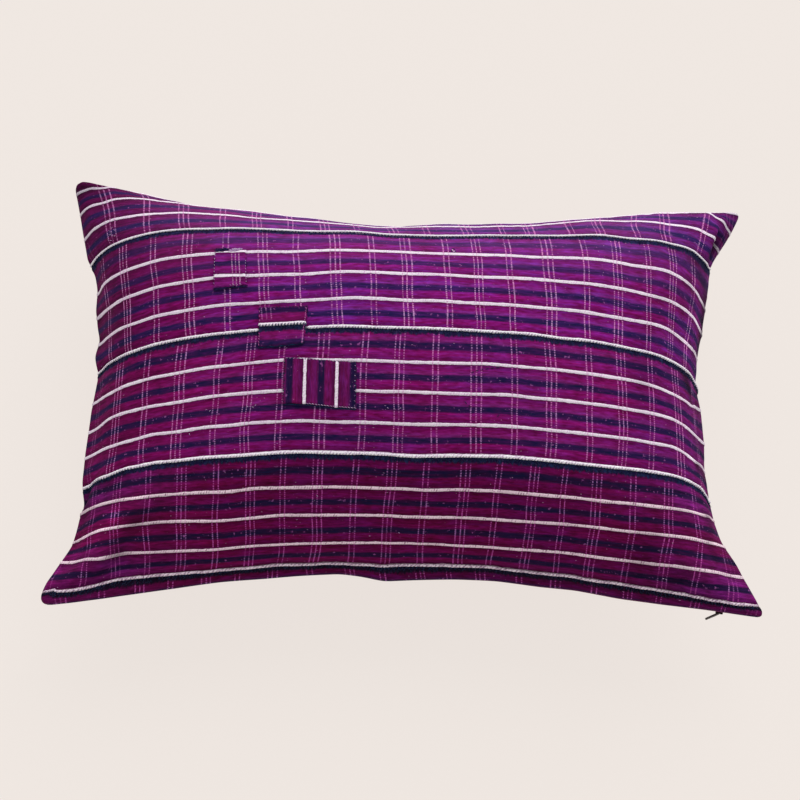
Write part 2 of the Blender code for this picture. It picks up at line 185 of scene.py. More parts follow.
# The mending patches, by their corners.
PATCHES = {
    # patch: ((across in mm, pitches) at top left, top right, bottom right, bottom left)
    "patch_small": ((137.3, 4.30), (164.2, 4.27), (166.3, 5.70), (137.3, 5.74)),
    "patch_seam": ((177.0, 6.53), (219.0, 6.53), (216.0, 7.83), (177.5, 7.90)),
    "patch_striped": ((200.5, 8.25), (261.5, 8.38), (262.0, 9.90), (200.0, 9.72)),
}

# ------------------------------------------------------------------ small helpers


def smooth(t):
    t = np.clip(t, 0.0, 1.0)
    return t * t * (3 - 2 * t)


def blurred(table, wide_a, wide_b):
    """Gaussian blur of a table along its first two axes, in cells."""
    out = table.astype(float)
    for axis, wide in ((0, wide_a), (1, wide_b)):
        reach = int(math.ceil(3 * wide))
        steps = np.arange(-reach, reach + 1)
        weights = np.exp(-0.5 * (steps / wide) ** 2)
        weights /= weights.sum()
        moved = np.moveaxis(out, axis, 0)
        padded = np.concatenate([moved[:1]] * reach + [moved] + [moved[-1:]] * reach)
        total = np.zeros_like(moved)
        for k, w in enumerate(weights):
            total += w * padded[k : k + len(moved)]
        out = np.moveaxis(total, 0, axis)
    return out


class Table:
    """A table of values on an even grid of the unit square, read between its points
    with a smooth cubic."""

    def __init__(self, values):
        values = np.asarray(values, float)
        if values.ndim == 2:
            values = values[..., None]
        first = 2 * values[:1] - values[1:2]
        last = 2 * values[-1:] - values[-2:-1]
        values = np.concatenate([first, values, last])
        first = 2 * values[:, :1] - values[:, 1:2]
        last = 2 * values[:, -1:] - values[:, -2:-1]
        self.values = np.concatenate([first, values, last], axis=1)
        self.na, self.nb = self.values.shape[0] - 2, self.values.shape[1] - 2

    @staticmethod
    def weights(t):
        return (
            ((2 - t) * t - 1) * t / 2,
            ((3 * t - 5) * t * t + 2) / 2,
            ((4 - 3 * t) * t + 1) * t / 2,
            (t - 1) * t * t / 2,
        )

    def __call__(self, a, b):
        fa = np.clip(a, 0, 1) * (self.na - 1)
        fb = np.clip(b, 0, 1) * (self.nb - 1)
        i = np.minimum(fa.astype(int), self.na - 2)
        j = np.minimum(fb.astype(int), self.nb - 2)
        wa, wb = self.weights(fa - i), self.weights(fb - j)
        total = 0.0
        for p in range(4):
            row = 0.0
            for q in range(4):
                row = row + wb[q][..., None] * self.values[i + p, j + q]
            total = total + wa[p][..., None] * row
        return total[..., 0] if total.shape[-1] == 1 else total


def uneven(seed, cells_a, cells_b):
    """A smooth random field on the unit square, about -1 to 1."""
    chance = np.random.RandomState(seed)
    return Table(chance.uniform(-1, 1, (cells_a + 1, cells_b + 1)))


# ------------------------------------------------------------------ the form

FINE_A, FINE_B = 305, 203


def shoulder(side, span, distance):
    reach, sharpness = SHOULDERS[side]
    steps = np.linspace(0.0, span, 400)
    steepness = np.exp(-((steps / reach) ** sharpness))
    rise = np.concatenate(
        ([0.0], np.cumsum((steepness[1:] + steepness[:-1]) / 2) * (steps[1] - steps[0]))
    )
    return np.interp(distance, steps, rise) / rise[-1]


def drawn_in(side, share):
    pull, start, end, middle, _, _ = SIDES[side]
    before = share < middle
    away = np.where(before, 1 - share / middle, (share - middle) / (1 - middle))
    return pull * (1 - away ** np.where(before, start, end))


def wave(side, share):
    _, _, _, _, whole, more = SIDES[side]
    return whole * np.sin(2 * math.pi * share) + more * np.sin(3 * math.pi * share)


def ground_covered(rise, step, axis):
    slope = np.gradient(rise, step, axis=axis)
    level = np.sqrt(np.clip(1 - slope**2, 0.02, 1))
    level = np.moveaxis(level, axis, 0)
    run = np.zeros_like(level)
    run[1:] = np.cumsum((level[1:] + level[:-1]) / 2, axis=0)
    return np.moveaxis(run / run[-1:], 0, axis)


def build_form():
    a, b = np.linspace(0, 1, FINE_A), np.linspace(0, 1, FINE_B)
    across, down = a * COVER_W, b * COVER_H
    ridge_x, ridge_y = RIDGE_A * COVER_W, RIDGE_B * COVER_H
    share_a = np.where(
        across < ridge_x,
        shoulder("left", ridge_x, across),
        shoulder("right", COVER_W - ridge_x, COVER_W - across),
    )
    share_b = np.where(
        down < ridge_y,
        shoulder("top", ridge_y, down),
        shoulder("bottom", COVER_H - ridge_y, COVER_H - down),
    )
    wide, tall = share_a[:, None], share_b[None, :]
    rise = FRONT_CROWN * wide * tall / (1 - CORNER_FILL * (1 - wide) * (1 - tall))
    run_x = ground_covered(rise, across[1], 0)
    run_y = ground_covered(rise, down[1], 1)
    # No crease is left where the four shoulders meet.
    middle = smooth((rise / FRONT_CROWN - 0.45) / 0.4)
    rise = rise * (1 - middle) + blurred(rise, 9, 9) * middle

    tl, tr = CORNERS["top_left"], CORNERS["top_right"]
    bl, br = CORNERS["bottom_left"], CORNERS["bottom_right"]
    left = tl[0] + (bl[0] - tl[0]) * b + drawn_in("left", b)
    right = tr[0] + (br[0] - tr[0]) * b - drawn_in("right", b)
    top = tl[1] + (tr[1] - tl[1]) * a - drawn_in("top", a)
    bottom = bl[1] + (br[1] - bl[1]) * a + drawn_in("bottom", a)
    x = left[None, :] + (right - left)[None, :] * run_x
    y = top[:, None] + (bottom - top)[:, None] * run_y
    whole_a, whole_b = np.meshgrid(a, b, indexing="ij")
    x += (1 - whole_a) ** 2 * wave("left", whole_b) + whole_a**2 * wave("right", whole_b)
    y += (1 - whole_b) ** 2 * wave("top", whole_a) + whole_b**2 * wave("bottom", whole_a)

    pinch = PINCH_DEPTH * np.exp(-(((b - PINCH_AT) / PINCH_REACH) ** 2))
    x -= whole_a**3 * pinch[None, :] * (b / PINCH_AT).clip(0, 1)[None, :]

    lumps = np.zeros_like(rise)
    for lump_a, rises in LUMPS.items():
        for lump_b, height in zip(LUMP_ROWS, rises):
            far = (across - lump_a * COVER_W)[:, None] ** 2 + (
                down - lump_b * COVER_H
            )[None, :] ** 2
            lumps += height * np.exp(-1.5 * far / LUMP_REACH**2)
    z = rise + lumps * np.sqrt(np.clip(rise / FRONT_CROWN, 0, 1))
    lift = np.zeros_like(rise)
    for corner, (ca, cb) in {
        "top_left": (0, 0),
        "top_right": (1, 0),
        "bottom_left": (0, 1),
        "bottom_right": (1, 1),
    }.items():
        near = (1 - np.abs(whole_a - ca)) * (1 - np.abs(whole_b - cb))
        lift += CORNERS[corner][2] * near**4
    return x, y, z, lift


FORM_X, FORM_Y, FORM_Z, FORM_LIFT = build_form()
REST_Z = -SEAM_HALF - BACK_SHARE * float(FORM_Z.max()) + REST_DEPTH

# Both faces of the filled form, from the plane of the seam.
FRONT_FORM = np.stack([FORM_X, FORM_Y, FORM_LIFT + FORM_Z], -1)
BACK_FORM = np.stack([FORM_X, FORM_Y, FORM_LIFT - BACK_SHARE * FORM_Z], -1)


# ------------------------------------------------------------------ the cloth relaxes

SIM_A, SIM_B = 96, 64
SIM_FRAMES = 20
SIM_CAP = 0.006  # how far the relaxing may move a point


def relax(front, back):
    """Lets the cover, cut flat as one rectangle in front and one behind, settle on the
    filled form under its own pressure, and gives how far each face moves."""
    a, b = np.linspace(0, 1, SIM_A + 1), np.linspace(0, 1, SIM_B + 1)
    whole_a, whole_b = np.meshgrid(a, b, indexing="ij")
    over, under = Table(front)(whole_a, whole_b), Table(back)(whole_a, whole_b)
    rim = np.zeros(whole_a.shape, bool)
    rim[0] = rim[-1] = True
    rim[:, 0] = rim[:, -1] = True
    number = np.full((2,) + rim.shape, -1)
    number[0] = np.arange(rim.size).reshape(rim.shape)
    number[1] = number[0]
    inner = ~rim
    number[1][inner] = rim.size + np.arange(inner.sum())
    spots = np.concatenate([over.reshape(-1, 3), under[inner]])
    flat = np.stack(
        [(whole_a - 0.5) * COVER_W, (0.5 - whole_b) * COVER_H, np.where(rim, 0, 0.0005)],
        -1,
    )
    behind = flat * np.array([1, 1, -1])
    cut = np.concatenate([flat.reshape(-1, 3), behind[inner]])
    cells = []
    for side in (0, 1):
        n = number[side]
        for i in range(SIM_A):
            for j in range(SIM_B):
                cell = [n[i, j], n[i, j + 1], n[i + 1, j + 1], n[i + 1, j]]
                cells.append(cell if side == 0 else cell[::-1])
    mesh = bpy.data.meshes.new("relaxing_cover")
    mesh.from_pydata(spots.tolist(), [], [[int(k) for k in c] for c in cells])
    cover = bpy.data.objects.new("relaxing_cover", mesh)
    bpy.context.scene.collection.objects.link(cover)
    cover.shape_key_add(name="Basis")
    key = cover.shape_key_add(name="cut")
    key.data.foreach_set("co", cut.ravel())
    cloth = cover.modifiers.new("cloth", "CLOTH")
    how = cloth.settings
    how.rest_shape_key = key
    how.quality = 6
    how.mass = 0.25
    how.tension_stiffness = how.compression_stiffness = 12
    how.shear_stiffness = 4
    how.bending_stiffness = 0.08
    how.tension_damping = how.compression_damping = how.shear_damping = 20
    how.bending_damping = 0.5
    how.air_damping = 4
    how.use_pressure = True
    how.uniform_pressure_force = 0.8
    how.effector_weights.gravity = 0.0
    cloth.collision_settings.use_collision = False
    cloth.point_cache.frame_start = 1
    cloth.point_cache.frame_end = SIM_FRAMES
    for step in range(1, SIM_FRAMES + 1):
        bpy.context.scene.frame_set(step)
    graph = bpy.context.evaluated_depsgraph_get()
    settled = cover.evaluated_get(graph).data
    end = np.empty(len(settled.vertices) * 3)
    settled.vertices.foreach_get("co", end)
    bpy.context.scene.frame_set(1)
    bpy.data.objects.remove(cover)
    moved = end.reshape(-1, 3) - spots
    far = np.linalg.norm(moved, axis=1, keepdims=True)
    moved *= np.minimum(1, SIM_CAP / np.maximum(far, 1e-9))
    return moved[number[0]], moved[number[1]]


FRONT_MOVED, BACK_MOVED = relax(FRONT_FORM, BACK_FORM)


def creases_of(moved):
    """The settled cover keeps the form's own bulge and only its finer creases count."""
    fine = moved - blurred(moved, 7.0, 7.0)
    a = np.linspace(0, 1, moved.shape[0])[:, None]
    b = np.linspace(0, 1, moved.shape[1])[None, :]
    near = np.minimum(
        np.minimum(a, 1 - a) * COVER_W + 0 * b, np.minimum(b, 1 - b) * COVER_H + 0 * a
    )
    return blurred(fine, 0.8, 0.8) * smooth(near / 0.012)[..., None]


FRONT_CREASES, BACK_CREASES = creases_of(FRONT_MOVED), creases_of(BACK_MOVED)

# ------------------------------------------------------------------ listed creases

# Soft troughs and ridges of the front, from one place on the cloth to another.
FOLDS = [
    # (u0, v0, u1, v1 in mm, reach in mm, rise in mm)
    (597, 28, 603, 62, 3.2, -4.2),
    (590, 26, 597, 64, 5.5, 2.0),
    (606, 20, 608, 52, 4.5, 1.4),
    (600, 66, 560, 96, 9.0, -1.2),
    (20, 22, 70, 66, 12.0, -1.2),
    (12, 40, 44, 92, 10.0, 1.0),
    (16, 372, 74, 318, 13.0, -2.0),
    (34, 384, 100, 340, 11.0, 1.5),
    (0, 317, 36, 281, 6.0, -2.2),
    (0, 331, 42, 294, 8.0, 1.9),
    (592, 372, 536, 318, 13.0, -1.4),
    (574, 386, 510, 344, 11.0, 1.1),
    (600, 120, 548, 128, 8.0, -1.0),
    (604, 214, 556, 206, 9.0, -1.1),
    (604, 268, 560, 258, 9.0, 0.9),
    (6, 140, 48, 150, 8.0, -0.9),
    (6, 236, 54, 228, 9.0, -1.0),
    (6, 290, 46, 282, 9.0, 0.9),
    (380, 404, 390, 350, 14.0, -0.8),
    (250, 404, 244, 356, 14.0, -0.7),
    (470, 402, 462, 352, 12.0, 0.7),
]


def fold_height(u, v):
    total = np.zeros_like(u)
    for u0, v0, u1, v1, reach, rise in FOLDS:
        x, y = u * 1000 - u0, v * 1000 - v0
        dx, dy = u1 - u0, v1 - v0
        long = math.hypot(dx, dy)
        along = (x * dx + y * dy) / long
        aside = (x * dy - y * dx) / long
        # The crease starts sharp and fades out.
        t = np.clip(along / long, 0, 1)
        width = reach * (0.7 + 0.8 * t)
        over = np.maximum(np.maximum(-along, along - long), 0)
        total += (
            rise
            / 1000
            * np.exp(-((aside / width) ** 2) - (over / (reach * 1.2)) ** 2)
            * (1 - 0.75 * t**2)
        )
    return total


SWELL = uneven(11, 9, 6)  # broad unevenness of the filling
SWELL_FINE = uneven(12, 22, 15)
SIDE_PUCKERS = uneven(13, 6, 60)
EDGE_PUCKERS = uneven(14, 86, 6)


def swell(u, v):
    a, b = u / COVER_W, v / COVER_H
    near_side = np.minimum(u, COVER_W - u)
    near_edge = np.minimum(v, COVER_H - v)
    inside = smooth(np.minimum(near_side, near_edge) / 0.03)
    rise = 0.0016 * SWELL(a, b) * inside + 0.0007 * SWELL_FINE(a, b) * inside
    rise += (
        0.0009 * SIDE_PUCKERS(a, b) * np.exp(-((near_side / 0.030) ** 2)) * smooth(near_side / 0.006)
    )
    rise += (
        0.0007 * EDGE_PUCKERS(a, b) * np.exp(-((near_edge / 0.024) ** 2)) * smooth(near_edge / 0.006)
    )
    return rise


# ------------------------------------------------------------------ places on the cloth

DRIFT_TABLE_ROWS = np.array(list(DRIFT))
DRIFT_TABLE = np.array(list(DRIFT.values())) / 1000.0
LINE_WOBBLE = uneven(15, 28, 48)


def monotone(x, xp, fp):
    """Smooth interpolation of fp (rows xp) at x, along the first axis of fp."""
    x = np.clip(x, xp[0], xp[-1])
    k = np.clip(np.searchsorted(xp, x, side="right") - 1, 0, len(xp) - 2)
    t = smooth((x - xp[k]) / (xp[k + 1] - xp[k]))
    line = (x - xp[k]) / (xp[k + 1] - xp[k])
    t = 0.5 * t + 0.5 * line
    return k, t


def drift(u, pitches):
    """How far down the cloth lies off its even place."""
    across = np.array(DRIFT_ACROSS) / 1000.0
    i, s = monotone(u, across, None)
    j, t = monotone(pitches, DRIFT_TABLE_ROWS, None)
    low = DRIFT_TABLE[j, i] * (1 - s) + DRIFT_TABLE[j, i + 1] * s
    high = DRIFT_TABLE[j + 1, i] * (1 - s) + DRIFT_TABLE[j + 1, i + 1] * s
    inside = smooth(np.minimum(pitches, PITCHES - pitches) / 0.4)
    return (
        low * (1 - t)
        + high * t
        + 0.00045 * LINE_WOBBLE(u / COVER_W, pitches / PITCHES) * inside
    )


def rounded(u, v):
    """Pulls the cover's four corners round."""
    s, t = np.minimum(u, COVER_W - u), np.minimum(v, COVER_H - v)
    left, high = u < COVER_W / 2, v < COVER_H / 2
    radius = np.where(
        high,
        np.where(left, CORNER_ROUND["top_left"], CORNER_ROUND["top_right"]),
        np.where(left, CORNER_ROUND["bottom_left"], CORNER_ROUND["bottom_right"]),
    )
    p, q = radius - s, radius - t
    inside = (p > 0) & (q > 0)
    p, q = np.where(inside, p, 1), np.where(inside, q, 1)
    scale = np.maximum(p, q) / np.hypot(p, q)
    s2 = np.where(inside, radius - p * scale, s)
    t2 = np.where(inside, radius - q * scale, t)
    u2 = np.where(left, s2, COVER_W - s2)
    v2 = np.where(high, t2, COVER_H - t2)
    # Distance to the rounded outline.
    edge = np.where(inside, radius - np.maximum(p, q), np.minimum(s, t))
    return u2, v2, edge


EDGE_TURN = 0.0026  # over this distance the faces turn in to the seam
FRONT_TABLE = Table(FRONT_FORM)
BACK_TABLE = Table(BACK_FORM)
FRONT_CREASE_TABLE = Table(FRONT_CREASES)
BACK_CREASE_TABLE = Table(BACK_CREASES)


def waves(a, b):
    """How far the sides' small waves carry a place aside."""
    shift = []
    for name, along, away in (
        ("left", b, a * COVER_W),
        ("right", b, (1 - a) * COVER_W),
        ("top", a, b * COVER_H),
        ("bottom", a, (1 - b) * COVER_H),
    ):
        reach, row = WAVES[name]
        places, inward = np.array(row).T
        fine = np.linspace(0, 1, 201)
        curve = np.interp(fine, places, inward)
        kernel = np.array([1, 2, 3, 2, 1]) / 9
        curve = np.convolve(np.pad(curve, 2, mode="edge"), kernel, mode="valid")
        shift.append(np.interp(along, fine, curve) / 1000 * (1 - smooth(away / reach)))
    left, right, top, bottom = shift
    return np.stack([left - right, bottom - top, np.zeros_like(left)], -1)


def face_base(u, v, side):
    a, b = u / COVER_W, v / COVER_H
    if side == "front":
        return FRONT_TABLE(a, b) + FRONT_CREASE_TABLE(a, b) + waves(a, b)
    return BACK_TABLE(a, b) + BACK_CREASE_TABLE(a, b) + waves(a, b)


def face_normal(u, v, side):
    step = 0.0016
    u0, u1 = np.maximum(u - step, 0), np.minimum(u + step, COVER_W)
    v0, v1 = np.maximum(v - step, 0), np.minimum(v + step, COVER_H)
    along = face_base(u1, v, side) - face_base(u0, v, side)
    up = face_base(u, v0, side) - face_base(u, v1, side)
    n = np.cross(along, up)
    n /= np.maximum(np.linalg.norm(n, axis=-1, keepdims=True), 1e-12)
    return n if side == "front" else -n


def on_front(u, v, height):
    """A point at a height over the body's front. The faces turn in to the seam at the
    cover's edge, so height fades there."""
    u, v, edge = rounded(u, v)
    turn = np.sqrt(np.clip(1 - (1 - np.clip(edge / EDGE_TURN, 0, 1)) ** 2, 0, 1))
    base = face_base(u, v, "front")
    n = face_normal(u, v, "front")
    base = base + np.array([0, 0, 1.0]) * (SEAM_HALF * turn)[..., None]
    bumps = (swell(u, v) + fold_height(u, v)) * smooth(edge / 0.006)
    return base + n * (height * (0.12 + 0.88 * turn) + bumps)[..., None] + PLACE, u, v


def on_back(u, v, height):
    u, v, edge = rounded(u, v)
    turn = np.sqrt(np.clip(1 - (1 - np.clip(edge / EDGE_TURN, 0, 1)) ** 2, 0, 1))
    base = face_base(u, v, "back")
    n = face_normal(u, v, "back")
    base = base - np.array([0, 0, 1.0]) * (SEAM_HALF * turn)[..., None]
    bumps = swell(COVER_W - u, COVER_H - v) * smooth(edge / 0.006)
    point = base + n * (height * (0.12 + 0.88 * turn) + bumps)[..., None]
    # It is pressed flat where it rests, with a soft turn into the flat.
    low = REST_Z
    soft = 0.0025
    over = point[..., 2] - low
    point[..., 2] = low + soft * np.log1p(np.exp(np.clip(over / soft, -40, 40)))
    return point + PLACE, u, v


# ------------------------------------------------------------------ making meshes


def spaced(start, end, step, dense_ends=()):
    """Even steps from start to end, with a few short ones at the ends named."""
    fine = np.array([0, 0.00035, 0.0008, 0.0014, 0.0022, 0.0032])
    low, high = start, end
    head, tail = np.array([start]), np.array([end])
    if "start" in dense_ends:
        head = start + fine
        low = head[-1]
    if "end" in dense_ends:
        tail = end - fine[::-1]
        high = tail[0]
    count = max(int(round((high - low) / step)), 1)
    middle = np.linspace(low, high, count + 1)
    return np.concatenate([head[:-1], middle, tail[1:]])


def quads(rows, cols, first=0):
    n = first + np.arange(rows * cols).reshape(rows, cols)
    return np.stack([n[:-1, :-1], n[1:, :-1], n[1:, 1:], n[:-1, 1:]], -1).reshape(-1, 4)


def closed_sheet(name, outer, inner, fields, width_share=1.0):
    """A closed thin sheet from two grids of points (rows down, columns across). fields
    are per-point values of the outer grid, which the inner one shares."""
    rows, cols = outer.shape[:2]
    size = rows * cols
    points = np.concatenate([outer.reshape(-1, 3), inner.reshape(-1, 3)])
    top = quads(rows, cols)
    under = quads(rows, cols, size)[:, ::-1]
    n = np.arange(size).reshape(rows, cols)
    ring = np.concatenate([n[0, :-1], n[:-1, -1], n[-1, :0:-1], n[:0:-1, 0]])
    after = np.roll(ring, -1)
    rim = np.stack([ring, after, after + size, ring + size], -1)
    faces = np.concatenate([top, under, rim])

    # Each face has its own place for the baked colours.
    s = np.linspace(0, 1, cols)[None, :] * np.ones((rows, 1))
    t = np.linspace(0, 1, rows)[:, None] * np.ones((1, cols))
    place_out = np.stack([s * 0.998 + 0.001, 1 - (0.002 + t * 0.84)], -1).reshape(-1, 2)
    place_in = np.stack([s * 0.998 + 0.001, 0.001 + t * 0.09], -1).reshape(-1, 2)
    rim_u = np.linspace(0, 1, len(ring) + 1)
    rim_place = np.stack(
        [
            np.stack([rim_u[:-1], np.full(len(ring), 0.14)], -1),
            np.stack([rim_u[1:], np.full(len(ring), 0.14)], -1),
            np.stack([rim_u[1:], np.full(len(ring), 0.11)], -1),
            np.stack([rim_u[:-1], np.full(len(ring), 0.11)], -1),
        ],
        1,
    )
    places = np.concatenate(
        [place_out[top].reshape(-1, 2), place_in[under - size].reshape(-1, 2), rim_place.reshape(-1, 2)]
    )
    return make_mesh(name, points, faces, {k: np.concatenate([f.reshape(size, -1)] * 2) for k, f in fields.items()}, places)


def make_mesh(name, points, faces, fields=None, places=None):
    mesh = bpy.data.meshes.new(name)
    mesh.vertices.add(len(points))
    mesh.vertices.foreach_set("co", np.asarray(points, np.float32).ravel())
    faces = np.asarray(faces, np.int32)
    per = faces.shape[1]
    mesh.loops.add(faces.size)
    mesh.loops.foreach_set("vertex_index", faces.ravel())
    mesh.polygons.add(len(faces))
    mesh.polygons.foreach_set("loop_start", np.arange(0, faces.size, per, dtype=np.int32))
    mesh.polygons.foreach_set("loop_total", np.full(len(faces), per, np.int32))
    for field, values in (fields or {}).items():
        values = np.asarray(values, np.float32)
        if values.ndim == 2 and values.shape[1] == 3:
            made = mesh.attributes.new(field, "FLOAT_VECTOR", "POINT")
            made.data.foreach_set("vector", values.ravel())
        else:
            made = mesh.attributes.new(field, "FLOAT", "POINT")
            made.data.foreach_set("value", values.ravel())
    if places is not None:
        layer = mesh.uv_layers.new(name="OFBake")
        layer.data.foreach_set("uv", np.asarray(places, np.float32).ravel())
    mesh.update(calc_edges=True)
    mesh.validate()
    mesh.shade_smooth()
    piece = bpy.data.objects.new(name, mesh)
    bpy.context.scene.collection.objects.link(piece)
    return piece


# ------------------------------------------------------------------ material nodes


class Nodes:
    """Short words for building a material's nodes."""

    def __init__(self, name):
        self.material = bpy.data.materials.new(name)
        self.material.use_nodes = True
        self.tree = self.material.node_tree
        self.tree.nodes.clear()

    def node(self, kind, **settings):
        made = self.tree.nodes.new(kind)
        for key, value in settings.items():
            setattr(made, key, value)
        return made

    def feed(self, socket, value):
        if isinstance(value, bpy.types.NodeSocket):
            self.tree.links.new(value, socket)
        else:
            socket.default_value = value

    def math(self, operation, a, b=0.0, c=0.0, clamp=False):
        made = self.node("ShaderNodeMath", operation=operation, use_clamp=clamp)
        self.feed(made.inputs[0], a)
        self.feed(made.inputs[1], b)
        self.feed(made.inputs[2], c)
        return made.outputs[0]

    def add(self, a, b):
        return self.math("ADD", a, b)

    def sub(self, a, b):
        return self.math("SUBTRACT", a, b)

    def mul(self, a, b, clamp=False):
        return self.math("MULTIPLY", a, b, clamp=clamp)

    def many(self, *values):
        """Product of several values."""
        total = values[0]
        for value in values[1:]:
            total = self.mul(total, value)
        return total

    def step(self, value, low, high):
        """0 under low, 1 over high, smooth between (low may be over high)."""
        made = self.node("ShaderNodeMapRange", interpolation_type="SMOOTHSTEP")
        if low <= high:
            self.feed(made.inputs["Value"], value)
            made.inputs["From Min"].default_value = low
            made.inputs["From Max"].default_value = high
            return made.outputs[0]
        self.feed(made.inputs["Value"], value)
        made.inputs["From Min"].default_value = high
        made.inputs["From Max"].default_value = low
        return self.sub(1.0, made.outputs[0])

    def spread(self, value, low, high, to_low, to_high):
        made = self.node("ShaderNodeMapRange")
        self.feed(made.inputs["Value"], value)
        for key, number in zip(
            ("From Min", "From Max", "To Min", "To Max"), (low, high, to_low, to_high)
        ):
            made.inputs[key].default_value = number
        return made.outputs[0]

    def vector(self, x, y, z):
        made = self.node("ShaderNodeCombineXYZ")
        for socket, value in zip(made.inputs, (x, y, z)):
            self.feed(socket, value)
        return made.outputs[0]

    def noise(self, place, scale, detail=2.0, rough=0.5, kind="FBM"):
        made = self.node("ShaderNodeTexNoise", noise_dimensions="3D", noise_type=kind)
        self.feed(made.inputs["Vector"], place)
        made.inputs["Scale"].default_value = scale
        made.inputs["Detail"].default_value = detail
        made.inputs["Roughness"].default_value = rough
        return made.outputs["Fac"]

    def mix(self, share, a, b, blend="MIX"):
        made = self.node("ShaderNodeMix", data_type="RGBA", blend_type=blend)
        made.clamp_factor = True
        self.feed(made.inputs[0], share)
        self.feed(made.inputs[6], a)
        self.feed(made.inputs[7], b)
        return made.outputs[2]

    def field(self, name):
        made = self.node("ShaderNodeAttribute", attribute_name=name)
        made.attribute_type = "GEOMETRY"
        return made

    def bump(self, height, distance, strength=1.0, under=None):
        made = self.node("ShaderNodeBump")
        made.inputs["Strength"].default_value = strength
        made.inputs["Distance"].default_value = distance
        self.feed(made.inputs["Height"], height)
        if under is not None:
            self.tree.links.new(under, made.inputs["Normal"])
        return made.outputs[0]

    def finish(self, colour, rough, normal, sheen=0.0, sheen_colour=(1, 1, 1, 1), sheen_rough=0.5, specular=0.2, metallic=None):
        out = self.node("ShaderNodeOutputMaterial")
        shader = self.node("ShaderNodeBsdfPrincipled")
        self.feed(shader.inputs["Base Color"], colour)
        self.feed(shader.inputs["Roughness"], rough)
        if normal is not None:
            self.feed(shader.inputs["Normal"], normal)
        shader.inputs["Sheen Weight"].default_value = sheen
        shader.inputs["Sheen Tint"].default_value = sheen_colour
        shader.inputs["Sheen Roughness"].default_value = sheen_rough
        shader.inputs["Specular IOR Level"].default_value = specular
        if metallic is not None:
            self.feed(shader.inputs["Metallic"], metallic)
        self.tree.links.new(shader.outputs[0], out.inputs[0])
        return self.material


def rgb(red, green, blue):
    """A display colour (0 to 255) as the shader's linear one."""
    return tuple(
        c / 12.92 if c <= 0.04045 else ((c + 0.055) / 1.055) ** 2.4
        for c in (red / 255, green / 255, blue / 255)
    ) + (1.0,)


# ------------------------------------------------------------------ the woven cloth

NAVY = rgb(38, 32, 102)
NAVY_DEEP = rgb(15, 20, 58)
WHITE_YARN = rgb(255, 242, 255)
WHITE_SHADE = rgb(236, 202, 236)
PINK_YARN = rgb(212, 92, 184)
LILAC_YARN = rgb(196, 132, 206)
TEAL_DARK = rgb(11, 20, 56)


